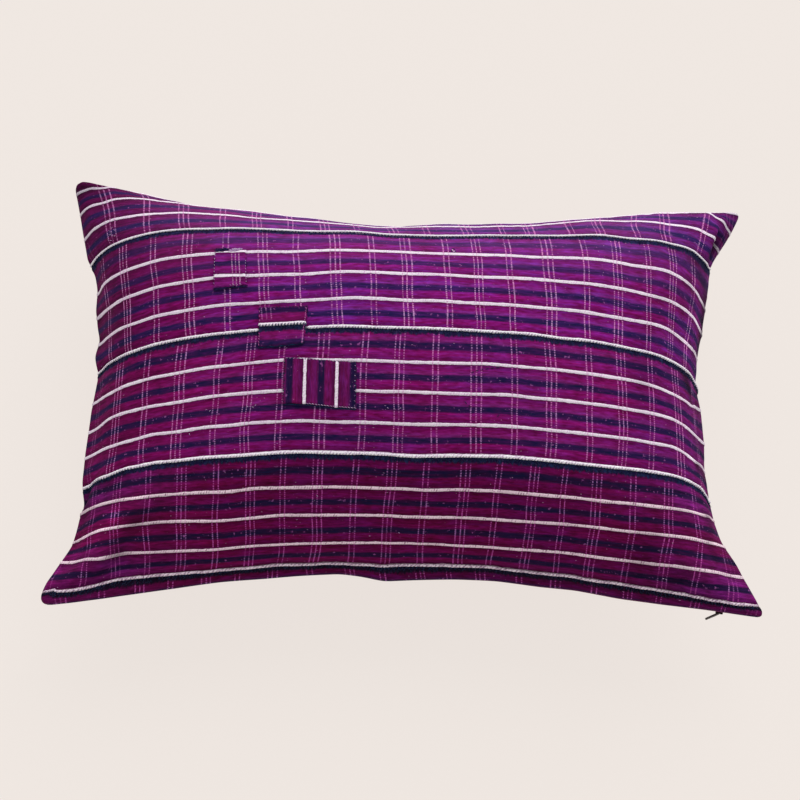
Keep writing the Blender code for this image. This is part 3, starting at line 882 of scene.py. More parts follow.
def woven(
    name,
    ground_red,
    ground_violet,
    starts_dark,
    seed,
    white_half=0.00119,
    navy=None,
    edges=(1.0, 1.0),
    whites=(WHITE_SHADE, WHITE_YARN),
    sides=None,
    painted_sheen=0.0,
    lilac=None,
    thin=1.0,
    pinks=(1.0, 0.0),
    fringe=(TEAL_DARK, rgb(26, 52, 92)),
):
    """Hand-woven striped cloth. The field "cloth" holds u in metres, v in pitches and
    the count of weft groups; "sewn" holds the distance in metres to the strip's first
    edge."""
    navy_yarn = navy or NAVY
    lilac = lilac or ground_violet
    n = Nodes(name)
    cloth = n.field("cloth")
    parts = n.node("ShaderNodeSeparateXYZ")
    n.tree.links.new(cloth.outputs["Vector"], parts.inputs[0])
    u, v, groups = parts.outputs[0], parts.outputs[1], parts.outputs[2]
    v_m = n.mul(v, PITCH)

    # Threads run along u, the warp; each is about 0.5 mm thick and its dye wanders.
    drawn = n.vector(n.mul(u, 34.0), n.mul(v_m, 1500.0), float(seed))
    streaks = n.noise(drawn, 1.0, 3.0, 0.62)
    long_streaks = n.noise(n.vector(n.mul(u, 9.0), n.mul(v_m, 420.0), seed + 3.0), 1.0, 2.0, 0.5)
    patchy = n.noise(n.vector(n.mul(u, 30.0), n.mul(v_m, 30.0), seed + 7.0), 1.0, 2.0, 0.5)
    broad = n.noise(n.vector(n.mul(u, 8.0), n.mul(v_m, 8.0), seed + 11.0), 1.0, 1.0, 0.5)
    mottle = n.noise(n.vector(n.mul(u, 105.0), n.mul(v_m, 500.0), seed + 13.0), 1.0, 2.0, 0.55)
    # The weft crosses at about 11 threads for each centimetre.
    pick = n.math("SINE", n.add(n.mul(u, 2 * math.pi / 0.00092), n.mul(streaks, 1.5)))
    warp = n.math("SINE", n.mul(v_m, 2 * math.pi / 0.00076))

    frayed = n.noise(n.vector(n.mul(u, 260.0), n.mul(v_m, 260.0), seed + 17.0), 1.0, 2.0, 0.6)
    edge_shift = n.add(
        n.mul(n.sub(streaks, 0.5), 0.050), n.mul(n.sub(frayed, 0.5), 0.020)
    )

    # Distance to the middle of the nearest white line and navy stripe, in metres.
    phase = n.sub(n.math("FRACT", n.add(v, 0.2)), 0.5)  # 0 on white lines
    from_white = n.mul(n.math("ABSOLUTE", phase), PITCH)
    other = n.sub(n.math("FRACT", n.add(v, 0.683)), 0.5)  # 0 on navy stripes
    from_navy = n.mul(
        n.math("ABSOLUTE", n.add(other, edge_shift)), PITCH
    )
    uneven_white = n.noise(n.vector(n.mul(u, 120.0), n.math("ROUND", n.sub(v, 0.3)), seed + 23.0), 1.0, 2.0, 0.6)
    white_edge = n.add(
        from_white, n.mul(n.sub(uneven_white, 0.5), 0.0013)
    )
    white = n.step(
        n.add(white_edge, n.mul(n.sub(frayed, 0.5), 0.0006)), white_half + 0.00028, white_half - 0.00018
    )
    # Painted shade along both edges of each white line.
    white_edge_shade = n.step(white_edge, white_half + 0.0015, white_half + 0.0004)
    ragged_navy = n.noise(n.vector(n.mul(u, 90.0), n.mul(v_m, 2600.0), seed + 19.0), 1.0, 2.0, 0.55)
    navy = n.step(
        n.add(from_navy, n.mul(n.sub(ragged_navy, 0.5), 0.0030)), 0.0039, 0.0018
    )

    # Ground: violet and wine threads side by side.
    share = n.add(
        n.add(n.mul(n.sub(streaks, 0.5), 1.5), n.mul(n.sub(long_streaks, 0.5), 1.1)),
        n.add(n.mul(n.sub(patchy, 0.5), 1.0), n.add(n.mul(n.sub(broad, 0.5), 1.2), 0.45)),
    )
    share = n.add(share, n.mul(n.sub(mottle, 0.5), 1.6))
    # More of the wine threads show towards the left.
    leftness = n.step(u, 0.21, 0.03)
    share = n.sub(share, n.mul(leftness, 0.62))
    ground = n.mix(n.math("MULTIPLY_ADD", share, 1.0, 0.0, clamp=True), ground_red, ground_violet)
    inward = n.mul(n.step(u, 0.03, 0.15), n.step(u, 0.58, 0.48))
    if sides is not None:
        # Towards both ends, and most near 13.4 pitches down, the strip takes the side colour in patches.
        side_share = n.mul(n.sub(1.0, inward), n.spread(patchy, 0.3, 0.7, 0.35, 0.95))
        side_share = n.mul(side_share, n.spread(n.math("ABSOLUTE", n.sub(v, 13.4)), 0.3, 1.2, 0.15, 1.0))
        ground = n.mix(side_share, ground, sides)
    tone = n.spread(n.noise(drawn, 2.3, 2.0, 0.7), 0.25, 0.75, 0.62, 1.38)
    tone = n.mul(tone, n.spread(patchy, 0.25, 0.75, 0.82, 1.18))
    tone = n.mul(tone, n.spread(mottle, 0.26, 0.74, 0.50, 1.56))
    tone = n.mul(tone, n.spread(pick, -1, 1, 0.90, 1.08))
    # The ground is darker towards its sides: partly its own colour, partly painted shade where the sides turn from the
    # light.
    tone = n.mul(tone, n.add(edges[0], n.mul(n.step(u, 0.035, 0.17), 1.0 - edges[0])))
    tone = n.mul(tone, n.add(edges[1], n.mul(n.step(u, 0.60, 0.44), 1.0 - edges[1])))
    # The cloth is darker beside the white lines, palest between them and the navy, and
    # turns to lilac on the upper side of each navy stripe.
    tone = n.mul(tone, n.spread(n.step(n.math("ABSOLUTE", phase), 0.06, 0.30), 0, 1, 0.68, 1.08))
    tone = n.mul(tone, n.spread(n.step(phase, -0.10, -0.24), 0, 1, 1.0, 1.07))
    turning = n.mul(n.step(phase, 0.22, 0.37), n.spread(streaks, 0.3, 0.7, 0.10, 0.50))
    turning = n.mul(turning, n.spread(leftness, 0, 1, 1.0, 0.30))
    ground = n.mix(turning, ground, lilac)
    bright = n.node("ShaderNodeVectorMath", operation="SCALE")
    n.feed(bright.inputs[0], ground)
    n.feed(bright.inputs["Scale"], tone)
    colour = bright.outputs[0]

    # Navy stripe, streaked with the ground where its threads part.
    navy_tone = n.mix(n.step(streaks, 0.35, 0.75), NAVY_DEEP, navy_yarn)
    parted = n.spread(n.add(streaks, n.mul(n.sub(mottle, 0.5), 0.7)), 0.30, 0.80, 1.0, 0.74)
    # The dye is thinner along the strip's first edge.
    sewn = n.field("sewn").outputs["Fac"]
    parted = n.mul(parted, n.spread(sewn, 0.010, 0.075, thin, 1.0))
    colour = n.mix(n.mul(navy, parted), colour, navy_tone)
    specks = n.mul(navy, n.step(n.add(frayed, n.mul(n.sub(mottle, 0.5), 0.3)), 0.63, 0.74))
    colour = n.mix(n.mul(specks, 0.42), colour, n.mix(0.5, PINK_YARN, LILAC_YARN))
    if painted_sheen:
        # Painted sheen: the cloth is drawn paler and more violet along the top of the crown, where it catches the
        # light.
        sheen_mask = n.mul(n.mul(n.step(v, 5.9, 2.6), inward), n.spread(patchy, 0.25, 0.75, 0.5 * painted_sheen, painted_sheen))
        colour = n.mix(sheen_mask, colour, rgb(168, 120, 190))

    # Pink weft threads float in dashes, four millimetres apart.
    near = n.mul(n.sub(n.math("FRACT", n.add(groups, 0.5)), 0.5), 0.0312)
    count = n.math("FLOOR", n.add(groups, 0.5))
    odd = n.math("MODULO", n.math("ABSOLUTE", count), 2.0)
    slant = n.mul(n.sub(n.noise(n.vector(n.mul(count, 7.3), n.mul(v, 0.55), seed + 31.0), 1.0, 1.0, 0.5), 0.5), 0.0042)
    near = n.add(near, slant)
    ragged = n.mul(n.sub(n.noise(n.vector(n.mul(count, 3.1), n.mul(v_m, 900.0), seed + 37.0), 1.0, 1.0, 0.5), 0.5), 0.0007)
    near = n.add(near, ragged)
    three = n.math("ABSOLUTE", n.sub(n.mul(n.sub(n.math("FRACT", n.add(n.mul(near, 1 / 0.0040), 0.5)), 0.5), 0.0040), 0.0))
    in_three = n.step(n.math("ABSOLUTE", near), 0.0060, 0.0056)
    two = n.math("ABSOLUTE", n.sub(n.math("ABSOLUTE", near), 0.0022))
    line = n.mix(odd, n.vector(three, three, three), n.vector(two, two, two))
    split = n.node("ShaderNodeSeparateXYZ")
    n.tree.links.new(line, split.inputs[0])
    from_pink = split.outputs[0]
    is_in = n.math("MAXIMUM", in_three, odd)
    dash = n.noise(n.vector(n.mul(count, 5.7), n.mul(v_m, 640.0), seed + 41.0), 1.0, 2.0, 0.6)
    dash_wide = n.noise(n.vector(n.mul(n.math("FLOOR", n.mul(u, 250.0)), 3.7), n.mul(v_m, 60.0), seed + 43.0), 1.0, 1.0, 0.5)
    floats = n.math("SINE", n.add(n.mul(v_m, 2 * math.pi / 0.0019), n.mul(count, 2.1)))
    shown = n.step(n.add(n.add(dash, n.mul(floats, 0.16)), n.mul(n.sub(dash_wide, 0.5), 0.70)), 0.38, 0.62)
    pink = n.many(n.step(from_pink, 0.00070, 0.00042), is_in, n.spread(shown, 0, 1, 0.10, 0.92))
    pink = n.mul(pink, n.mul(n.spread(n.step(u, 0.010, 0.034), 0, 1, 0.25, 1.0), n.spread(n.step(u, 0.602, 0.582), 0, 1, 0.25, 1.0)))
    pink_tone = n.mix(pinks[1], n.mix(navy, PINK_YARN, LILAC_YARN), rgb(250, 214, 240))
    colour = n.mix(n.mul(pink, n.spread(navy, 0, 1, 0.82 * pinks[0], 0.72 * pinks[0])), colour, pink_tone)

    # White warp lines of thick, loosely twisted yarn, with painted shade along both their edges.
    twist = n.math("SINE", n.add(n.add(n.mul(u, 2 * math.pi / 0.0023), n.mul(phase, 26.0)), n.mul(uneven_white, 12.0)))
    yarn = n.mix(n.step(n.add(n.mul(twist, 0.12), frayed), 0.20, 0.48), whites[0], whites[1])
    colour = n.mix(n.mul(white_edge_shade, 0.55), colour, n.mix(0.5, NAVY_DEEP, ground_red))
    soiled = n.noise(n.vector(n.mul(u, 26.0), n.math("ROUND", n.sub(v, 0.3)), seed + 29.0), 1.0, 2.0, 0.5)
    yarn = n.mix(n.mul(n.step(soiled, 0.46, 0.72), 0.30), yarn, whites[0])
    colour = n.mix(white, colour, yarn)
    blush = n.mul(pink, n.mul(white, 0.45))
    colour = n.mix(blush, colour, PINK_YARN)

    # Stray slubs of pale lint.
    lint = n.noise(n.vector(n.mul(u, 330.0), n.mul(v_m, 700.0), seed + 53.0), 1.0, 1.0, 0.5)
    rare = n.noise(n.vector(n.mul(u, 60.0), n.mul(v_m, 60.0), seed + 59.0), 1.0, 1.0, 0.5)
    slub = n.mul(n.step(lint, 0.735, 0.79), n.step(rare, 0.44, 0.58))
    colour = n.mix(n.mul(slub, 0.75), colour, rgb(206, 160, 200))

    # The dark, fuzzy edge that hangs under the seam above.
    if starts_dark:
        fuzz = n.add(sewn, n.mul(n.sub(n.noise(n.vector(n.mul(u, 520.0), n.mul(v_m, 220.0), seed + 61.0), 1.0, 2.0, 0.6), 0.5), 0.0056))
        fuzz = n.add(fuzz, n.mul(n.sub(n.noise(n.vector(n.mul(u, 60.0), 0.0, seed + 67.0), 1.0, 1.0, 0.5), 0.5), 0.0024))
        dark = n.step(fuzz, 0.0066, 0.0048)
        teal = n.mix(n.step(frayed, 0.42, 0.72), fringe[0], fringe[1])
        colour = n.mix(n.mul(dark, 0.92), colour, teal)

    # Painted shade and painted highlight of the creases, folds and sides scale the colour.
    shade = n.node("ShaderNodeVectorMath", operation="SCALE")
    n.feed(shade.inputs[0], colour)
    n.feed(shade.inputs["Scale"], n.sub(1.0, n.field("painted_shading").outputs["Fac"]))
    colour = shade.outputs[0]

    rough = n.spread(streaks, 0.2, 0.8, 0.80, 0.96)
    # Relief: round threads both ways, raised white and pink yarn.
    height = n.add(n.mul(n.add(pick, 1.0), 0.22), n.mul(n.add(warp, 1.0), 0.20))
    height = n.add(height, n.mul(frayed, 0.55))
    height = n.add(height, n.mul(pink, 0.9))
    height = n.add(height, n.mul(n.mul(white, n.add(twist, 1.0)), 0.5))
    height = n.sub(height, n.mul(n.mul(navy, n.sub(1.0, streaks)), 0.35))
    normal = n.bump(height, 0.00045, 0.55)
    return n.finish(colour, rough, normal, sheen=0.035, sheen_colour=(0.86, 0.36, 0.95, 1), sheen_rough=0.45, specular=0.06)


# ------------------------------------------------------------------ strips

# Painted shade: places where the cloth is drawn darker in folds, at the turned corners and along the sides, where less
# light falls.
PAINTED_SHADE_SPOTS = [
    # (across, down in mm, reach across, reach down in mm, share of its paleness lost)
    (600, 45, 5, 17, 0.85),
    (607, 24, 13, 26, 0.42),
    (8, 10, 22, 14, 0.45),
    (20, 42, 38, 44, 0.16),
    (92, 350, 13, 34, 0.14),
    (546, 382, 16, 12, 0.22),
    (512, 364, 14, 22, 0.12),
    (512, 205, 12, 34, 0.12),
    (606, 110, 10, 34, 0.35),
    (608, 250, 10, 90, 0.25),
    (2, 150, 10, 120, 0.20),
    (595, 205, 6, 34, 0.30),
    (8, 306, 12, 7, 0.30),
]
# Soft creases and rises at the sides catch less or more light (less than none is more).
CREASED = [
    # (across, down, to across, to down, reach in mm, share of its paleness lost)
    (58, 299, 5, 312, 5.4, 0.41),
    (72, 322, 48, 335, 6.5, -0.32),
    (48, 335, 36, 348, 6.5, -0.38),
    (23, 351, 14, 365, 5.4, -0.35),
    (94, 329, 72, 339, 8.7, 0.32),
    (72, 339, 57, 363, 8.7, 0.41),
    (58, 368, 44, 382, 8.7, 0.38),
    (18, 318, 10, 319, 4.3, 0.62),
    (5, 372, 8, 385, 5.4, -0.26),
    (576, 74, 600, 100, 9.9, 0.49),
    (563, 102, 570, 117, 7.0, 0.23),
    (604, 120, 602, 149, 6.4, 0.72),
    (554, 189, 572, 198, 5.4, 0.39),
    (568, 191, 578, 208, 6.4, 0.65),
    (580, 119, 582, 132, 4.3, -0.20),
    (566, 157, 572, 170, 4.3, -0.29),
    (546, 77, 568, 79, 6.5, 0.33),
    (580, 252, 594, 255, 7.0, 0.45),
    (565, 270, 569, 276, 4.3, -0.26),
    (578, 275, 610, 281, 6.4, 0.62),
    (584, 320, 591, 327, 5.6, 0.36),
    (573, 326, 558, 305, 7.0, -0.18),
    (596, 350, 588, 346, 5.6, -0.26),
    (580, 342, 585, 359, 5.6, 0.26),
    (524, 350, 508, 378, 13.0, 0.15),
    (550, 373, 534, 388, 8.7, 0.23),
    (602, 377, 605, 386, 5.6, -0.20),
    (512, 180, 509, 230, 9.8, 0.13),
    (542, 115, 530, 134, 8.7, 0.16),
    (590, 66, 602, 112, 9.0, 0.34),
    (598, 112, 604, 156, 8.0, 0.30),
    (586, 160, 600, 196, 6.0, 0.25),
]


# Painted shade from the creases, folds and sides, as the share of the cloth's paleness taken away; below none it is
# painted highlight.
def painted_shading(u, v):
    total = np.zeros_like(u)
    for u0, v0, u1, v1, reach, lost in CREASED:
        x, y = u * 1000 - u0, v * 1000 - v0
        dx, dy = u1 - u0, v1 - v0
        t = np.clip((x * dx + y * dy) / (dx * dx + dy * dy), 0, 1)
        near = np.exp(-((x - t * dx) ** 2 + (y - t * dy) ** 2) / reach**2)
        total = 1 - (1 - total) * (1 - lost * near)
    for across, down, wide, high, lost in PAINTED_SHADE_SPOTS:
        near = np.exp(-(((u * 1000 - across) / wide) ** 2) - ((v * 1000 - down) / high) ** 2)
        total = 1 - (1 - total) * (1 - lost * near)
    return total


def slant(name, u, p):
    """How far aside the weft runs at a place of a strip."""
    rows = SLANT[name]
    across = np.array(SLANT_ACROSS) / 1000.0
    heights = [row[0] for row in rows]
    shifts = [np.interp(u, across, np.array(row[1:]) / 1000.0) for row in rows]
    p = np.clip(p, heights[0] - 0.3, heights[-1] + 0.3)
    total = shifts[0]
    for k in range(len(rows) - 1):
        t = (p - heights[k]) / (heights[k + 1] - heights[k])
        low = 0.0 if k > 0 else -1.0
        high = 1.0 if k < len(rows) - 2 else 2.0
        t = np.clip(t, low, high)
        total = total + (shifts[k + 1] - shifts[k]) * t
    return total


def weft_count(name, u, p):
    u = u - slant(name, u, p)
    three_first, places = WEFT_GROUPS[name]
    places = np.array(places) / 1000.0
    count = np.arange(len(places)) + (0 if three_first else 1)
    inside = np.interp(u, places, count)
    inside = np.where(u < places[0], count[0] + (u - places[0]) / 0.0312, inside)
    return np.where(u > places[-1], count[-1] + (u - places[-1]) / 0.0312, inside)


LINE_HEIGHT = uneven(21, 150, 32)
PATTERN_DROP = {"strip_1": 0.016, "strip_2": 0.024, "strip_3": 0.016, "strip_4": 0.010, "strip_5": 0.010}


def strip_rows(start, end):
    """Rows down a strip in pitches, close together at its edges and white lines."""
    at_start, at_end = (
        ("start",) if start == 0 else (),
        ("end",) if end == PITCHES else (),
    )
    even = spaced(start * PITCH, end * PITCH, 0.0019, ("start", "end"))
    lines = [
        (k + 0.3) * PITCH + offset
        for k in range(-1, 16)
        for offset in np.array([-3.0, -2.2, -1.6, -1.15, -0.75, -0.35, 0, 0.35, 0.75, 1.15, 1.6, 2.2, 3.0]) / 1000
        if start * PITCH + 0.0034 < (k + 0.3) * PITCH + offset < end * PITCH - 0.0034
    ]
    rows = np.array(sorted(set(np.round(np.concatenate([even, lines]), 6))))
    # Rows that would fall closer than a third of a millimetre to the next are left out.
    keep = [rows[0]]
    for row in rows[1:-1]:
        if row - keep[-1] > 0.00031 and rows[-1] - row > 0.0003:
            keep.append(row)
    keep.append(rows[-1])
    return np.array(keep) / PITCH


def make_strip(name, order):
    start, end = STRIPS[name]
    rows = strip_rows(start, end)
    cols = spaced(0, COVER_W, 0.0019, ("start", "end"))
    u, p = np.meshgrid(cols, rows)
    v = p * PITCH + drift(u, p)
    v = np.clip(v, 0, COVER_H)

    # Height of the cloth's outer side.
    from_white = (((p + 0.2) % 1.0) - 0.5) * PITCH
    inside = smooth(np.minimum(p - start, end - p) * PITCH / 0.002)
    ridge = np.exp(-((from_white / 0.00125) ** 2)) * (
        1 + 0.35 * LINE_HEIGHT(u / COVER_W, p / PITCHES)
    )
    groove = np.exp(-(((np.abs(from_white) - 0.0024) / 0.0008) ** 2))
    height = np.full_like(u, CLOTH)
    if 0.1 < (end - start):
        height += (0.00055 * ridge - 0.00018 * groove) * inside
    # It dips into the seams between strips.
    for edge, here in ((start, start > 0), (end, end < PITCHES)):
        if not here:
            continue
        away = np.abs(p - edge) * PITCH
        dip = np.sqrt(np.clip(1 - (1 - np.clip(away / 0.0011, 0, 1)) ** 2, 0, 1))
        height *= 0.35 + 0.65 * dip
        height -= 0.0009 * np.exp(-((away / 0.0045) ** 2))
    if start > 0:
        # The fuzzy edge stands up a little under the seam.
        below = (p - start) * PITCH
        height += 0.0007 * np.exp(-(((below - 0.0032) / 0.0016) ** 2)) * (
            1 + 0.5 * LINE_HEIGHT(u / COVER_W, 1 - p / PITCHES)
        )
    outer, ru, rv = on_front(u, v, GAP + height)
    inner, _, _ = on_front(u, v, np.full_like(u, GAP))
    pattern = p + (rv - v) / PITCH
    fields = {
        "cloth": np.stack([ru, pattern - PATTERN_DROP[name], weft_count(name, ru, pattern)], -1),
        "sewn": (p - start) * PITCH,
        # painted shade and painted highlight of the creases, folds and sides
        "painted_shading": painted_shading(ru, rv),
    }
    piece = closed_sheet(name, outer, inner, fields)
    return piece


# ------------------------------------------------------------------ camera, light, floor

AIM = Vector((-0.0473, -0.3856, 0.9215)).normalized()  # from the pillow to the camera
camera_data = bpy.data.cameras.new("photo_camera")
camera_data.sensor_width = 36.0
camera_data.lens = 2016.8 / 800 * 36
camera_data.clip_start, camera_data.clip_end = 0.05, 20
camera = bpy.data.objects.new("photo_camera", camera_data)
bpy.context.scene.collection.objects.link(camera)
side = Vector((0, 1, 0)).cross(AIM).normalized()
upward = AIM.cross(side)
camera.matrix_world = Matrix.Translation(
    Vector((-0.0084, -0.007, 0)) + upward * 0.0035 + AIM * 1.7625 + Vector(PLACE)
) @ Matrix((side, upward, AIM)).transposed().to_4x4()
bpy.context.scene.camera = camera

SUN_STRENGTH = 2.12
WORLD_STRENGTH = 0.50
bpy.context.scene.view_settings.view_transform = "Standard"
bpy.context.scene.view_settings.look = "None"


sun_data = bpy.data.lights.new("key", "SUN")
sun_data.energy = SUN_STRENGTH
sun_data.angle = math.radians(55)
sun_data.color = (1.0, 1.0, 1.0)
sun = bpy.data.objects.new("key", sun_data)
sun.rotation_euler = Vector((0.22, 0.78, 0.66)).to_track_quat("Z", "Y").to_euler()
bpy.context.scene.collection.objects.link(sun)

world = bpy.data.worlds.new("studio")
world.use_nodes = True
world.node_tree.nodes["Background"].inputs[0].default_value = (1.0, 1.0, 1.0, 1)
world.node_tree.nodes["Background"].inputs[1].default_value = WORLD_STRENGTH
bpy.context.scene.world = world


def make_floor():
    reach, cells = 6.0, 24
    line = np.linspace(-reach, reach, cells + 1)
    x, y = np.meshgrid(line, line)
    points = np.stack([x, y, np.full_like(x, -0.0004)], -1).reshape(-1, 3)
    floor = make_mesh("studio_floor", points, quads(cells + 1, cells + 1)[:, ::-1])
    n = Nodes("floor_paper")
    spot = n.node("ShaderNodeTexCoord").outputs["Object"]
    grain = n.noise(spot, 260.0, 2.0, 0.6)
    # A glowing white table: most of its paleness is its own, so shadows stay faint.
    out = n.node("ShaderNodeOutputMaterial")
    shader = n.node("ShaderNodeBsdfPrincipled")
    tone = n.mix(n.spread(grain, 0.3, 0.7, 0.0, 1.0), rgb(81, 78, 76), rgb(83, 79, 77))
    n.feed(shader.inputs["Base Color"], tone)
    shader.inputs["Roughness"].default_value = 0.95
    shader.inputs["Specular IOR Level"].default_value = 0.0
    shader.inputs["Emission Color"].default_value = rgb(241, 233, 227)
    shader.inputs["Emission Strength"].default_value = 0.90
    n.tree.links.new(shader.outputs[0], out.inputs[0])
    floor.data.materials.append(n.material)
    return floor


make_floor()

# ------------------------------------------------------------------ the filled body


def make_body():
    cols = spaced(0, COVER_W, 0.0040, ("start", "end"))
    rows = spaced(0, COVER_H, 0.0040, ("start", "end"))
    u, v = np.meshgrid(cols, rows)
    over, ru, rv = on_front(u, v, np.zeros_like(u))
    under, _, _ = on_back(u, v, np.zeros_like(u))
    # The two faces meet in the seam.
    rows_n, cols_n = u.shape
    rim = np.zeros(u.shape, bool)
    rim[0] = rim[-1] = True
    rim[:, 0] = rim[:, -1] = True
    middle = (over + under) / 2
    over[rim] = middle[rim]
    size = u.size
    top = quads(rows_n, cols_n)
    number = np.arange(size).reshape(u.shape)
    behind = number.copy()
    inner = ~rim
    behind[inner] = size + np.arange(inner.sum())
    q = behind[:-1, :-1], behind[:-1, 1:], behind[1:, 1:], behind[1:, :-1]
    low = np.stack(q, -1).reshape(-1, 4)
    points = np.concatenate([over.reshape(-1, 3), under[inner]])
    faces = np.concatenate([top, low])
    cloth = np.stack([ru, rv / PITCH, np.zeros_like(ru)], -1)
    fields = {
        "cloth": np.concatenate([cloth.reshape(-1, 3), cloth[inner]]),
        "is_back": np.concatenate([np.where(rim, 0.5, 0.0).ravel(), np.ones(inner.sum())]),
    }
    s, t = cols / COVER_W, rows / COVER_H
    flat_s, flat_t = np.meshgrid(s, t)
    # The unseen front takes little of the baked picture.
    out = np.stack([0.002 + 0.15 * flat_s, 0.87 + 0.12 * flat_t], -1).reshape(-1, 2)
    back_place = np.stack([0.002 + 0.995 * flat_s, 0.002 + 0.84 * flat_t], -1)
    n = number
    back_at = back_place.reshape(-1, 2)
    low_grid = np.stack([n[:-1, :-1], n[:-1, 1:], n[1:, 1:], n[1:, :-1]], -1).reshape(-1, 4)
    places = np.concatenate([out[top].reshape(-1, 2), back_at[low_grid].reshape(-1, 2)])
    body = make_mesh("pillow_body", points, faces, fields, places)
    body.data.materials.append(plain_cotton())
    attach(body, "root")
    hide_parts("cushion_body")
    return body


def plain_cotton():
    """The plain back: tightly woven wine-coloured cotton, its dye a little washed out."""
    n = Nodes("wine_cotton")
    cloth = n.field("cloth")
    parts = n.node("ShaderNodeSeparateXYZ")
    n.tree.links.new(cloth.outputs["Vector"], parts.inputs[0])
    u, v_m = parts.outputs[0], n.mul(parts.outputs[1], PITCH)
    warp = n.math("SINE", n.mul(u, 2 * math.pi / 0.00070))
    weft = n.math("SINE", n.mul(v_m, 2 * math.pi / 0.00070))
    slub_across = n.noise(n.vector(n.mul(u, 60.0), n.mul(v_m, 1400.0), 2.0), 1.0, 3.0, 0.6)
    slub_down = n.noise(n.vector(n.mul(u, 1400.0), n.mul(v_m, 60.0), 5.0), 1.0, 3.0, 0.6)
    broad = n.noise(n.vector(n.mul(u, 14.0), n.mul(v_m, 14.0), 9.0), 1.0, 3.0, 0.6)
    colour = n.mix(slub_across, rgb(84, 12, 52), rgb(124, 22, 84))
    colour = n.mix(n.mul(slub_down, 0.5), colour, rgb(104, 18, 78))
    tone = n.mul(n.spread(broad, 0.25, 0.75, 0.84, 1.16), n.spread(n.add(warp, weft), -2, 2, 0.90, 1.10))
    scaled = n.node("ShaderNodeVectorMath", operation="SCALE")
    n.feed(scaled.inputs[0], colour)
    n.feed(scaled.inputs["Scale"], tone)
    height = n.add(n.mul(n.add(warp, weft), 0.4), n.add(slub_across, slub_down))
    normal = n.bump(height, 0.00022, 0.6)
    return n.finish(scaled.outputs[0], n.spread(broad, 0.2, 0.8, 0.82, 0.94), normal, sheen=0.12, sheen_colour=(0.8, 0.4, 0.7, 1), specular=0.15)


BODY = make_body()

TONES = {
    # strip: (wine threads, violet threads, navy threads, darker at the left and right)
    "strip_1": (rgb(122, 14, 94), rgb(98, 36, 126), rgb(44, 34, 112), (0.55, 0.85)),
    "strip_2": (rgb(134, 9, 97), rgb(108, 28, 126), rgb(32, 28, 98), (0.45, 0.74)),
    "strip_3": (rgb(133, 8, 91), rgb(109, 25, 112), rgb(22, 20, 78), (0.58, 0.78)),
    "strip_4": (rgb(106, 3, 59), rgb(86, 8, 73), rgb(5, 3, 24), (0.87, 0.90)),
    "strip_5": (rgb(88, 3, 50), rgb(74, 8, 66), rgb(20, 14, 52), (1.0, 1.0)),
}
FRINGES = {"strip_5": (rgb(9, 10, 26), rgb(20, 20, 42))}
SIDE_TONES = {"strip_4": rgb(114, 28, 114), "strip_5": rgb(92, 16, 78)}
WHITES = {"strip_4": (rgb(166, 130, 148), rgb(248, 221, 234))}
# Share of painted sheen along the top of the crown, for each strip.
PAINTED_SHEEN_SHARES = {"strip_1": 0.11, "strip_2": 0.10}
LILACS = {"strip_1": rgb(112, 60, 150), "strip_2": rgb(112, 60, 150), "strip_3": rgb(106, 48, 114)}
PINKS = {
    "strip_1": (1.12, 0.22),
    "strip_2": (1.14, 0.26),
    "strip_3": (1.06, 0.14),
    "strip_4": (0.82, 0.0),
    "strip_5": (0.82, 0.0),
}
THIN_NAVY = {"strip_1": 0.90, "strip_2": 0.80}  # the dye's strength at the first edge
for order, name in enumerate(STRIPS):
    piece = make_strip(name, order)
    red, violet, navy, edges = TONES[name]
    piece.data.materials.append(
        woven(
            name + "_cloth",
            red,
            violet,
            STRIPS[name][0] > 0,
            10.0 * order + 1.0,
            navy=navy,
            edges=edges,
            whites=WHITES.get(name, (WHITE_SHADE, WHITE_YARN)),
            sides=SIDE_TONES.get(name),
            fringe=FRINGES.get(name, (TEAL_DARK, rgb(26, 52, 92))),
            painted_sheen=PAINTED_SHEEN_SHARES.get(name, 0.0),
            lilac=LILACS.get(name),
            thin=THIN_NAVY.get(name, 1.0),
            pinks=PINKS.get(name, (1.0, 0.0)),
        )
    )
    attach(piece, "root")
    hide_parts("front_" + name)

# ------------------------------------------------------------------ cords and stitches


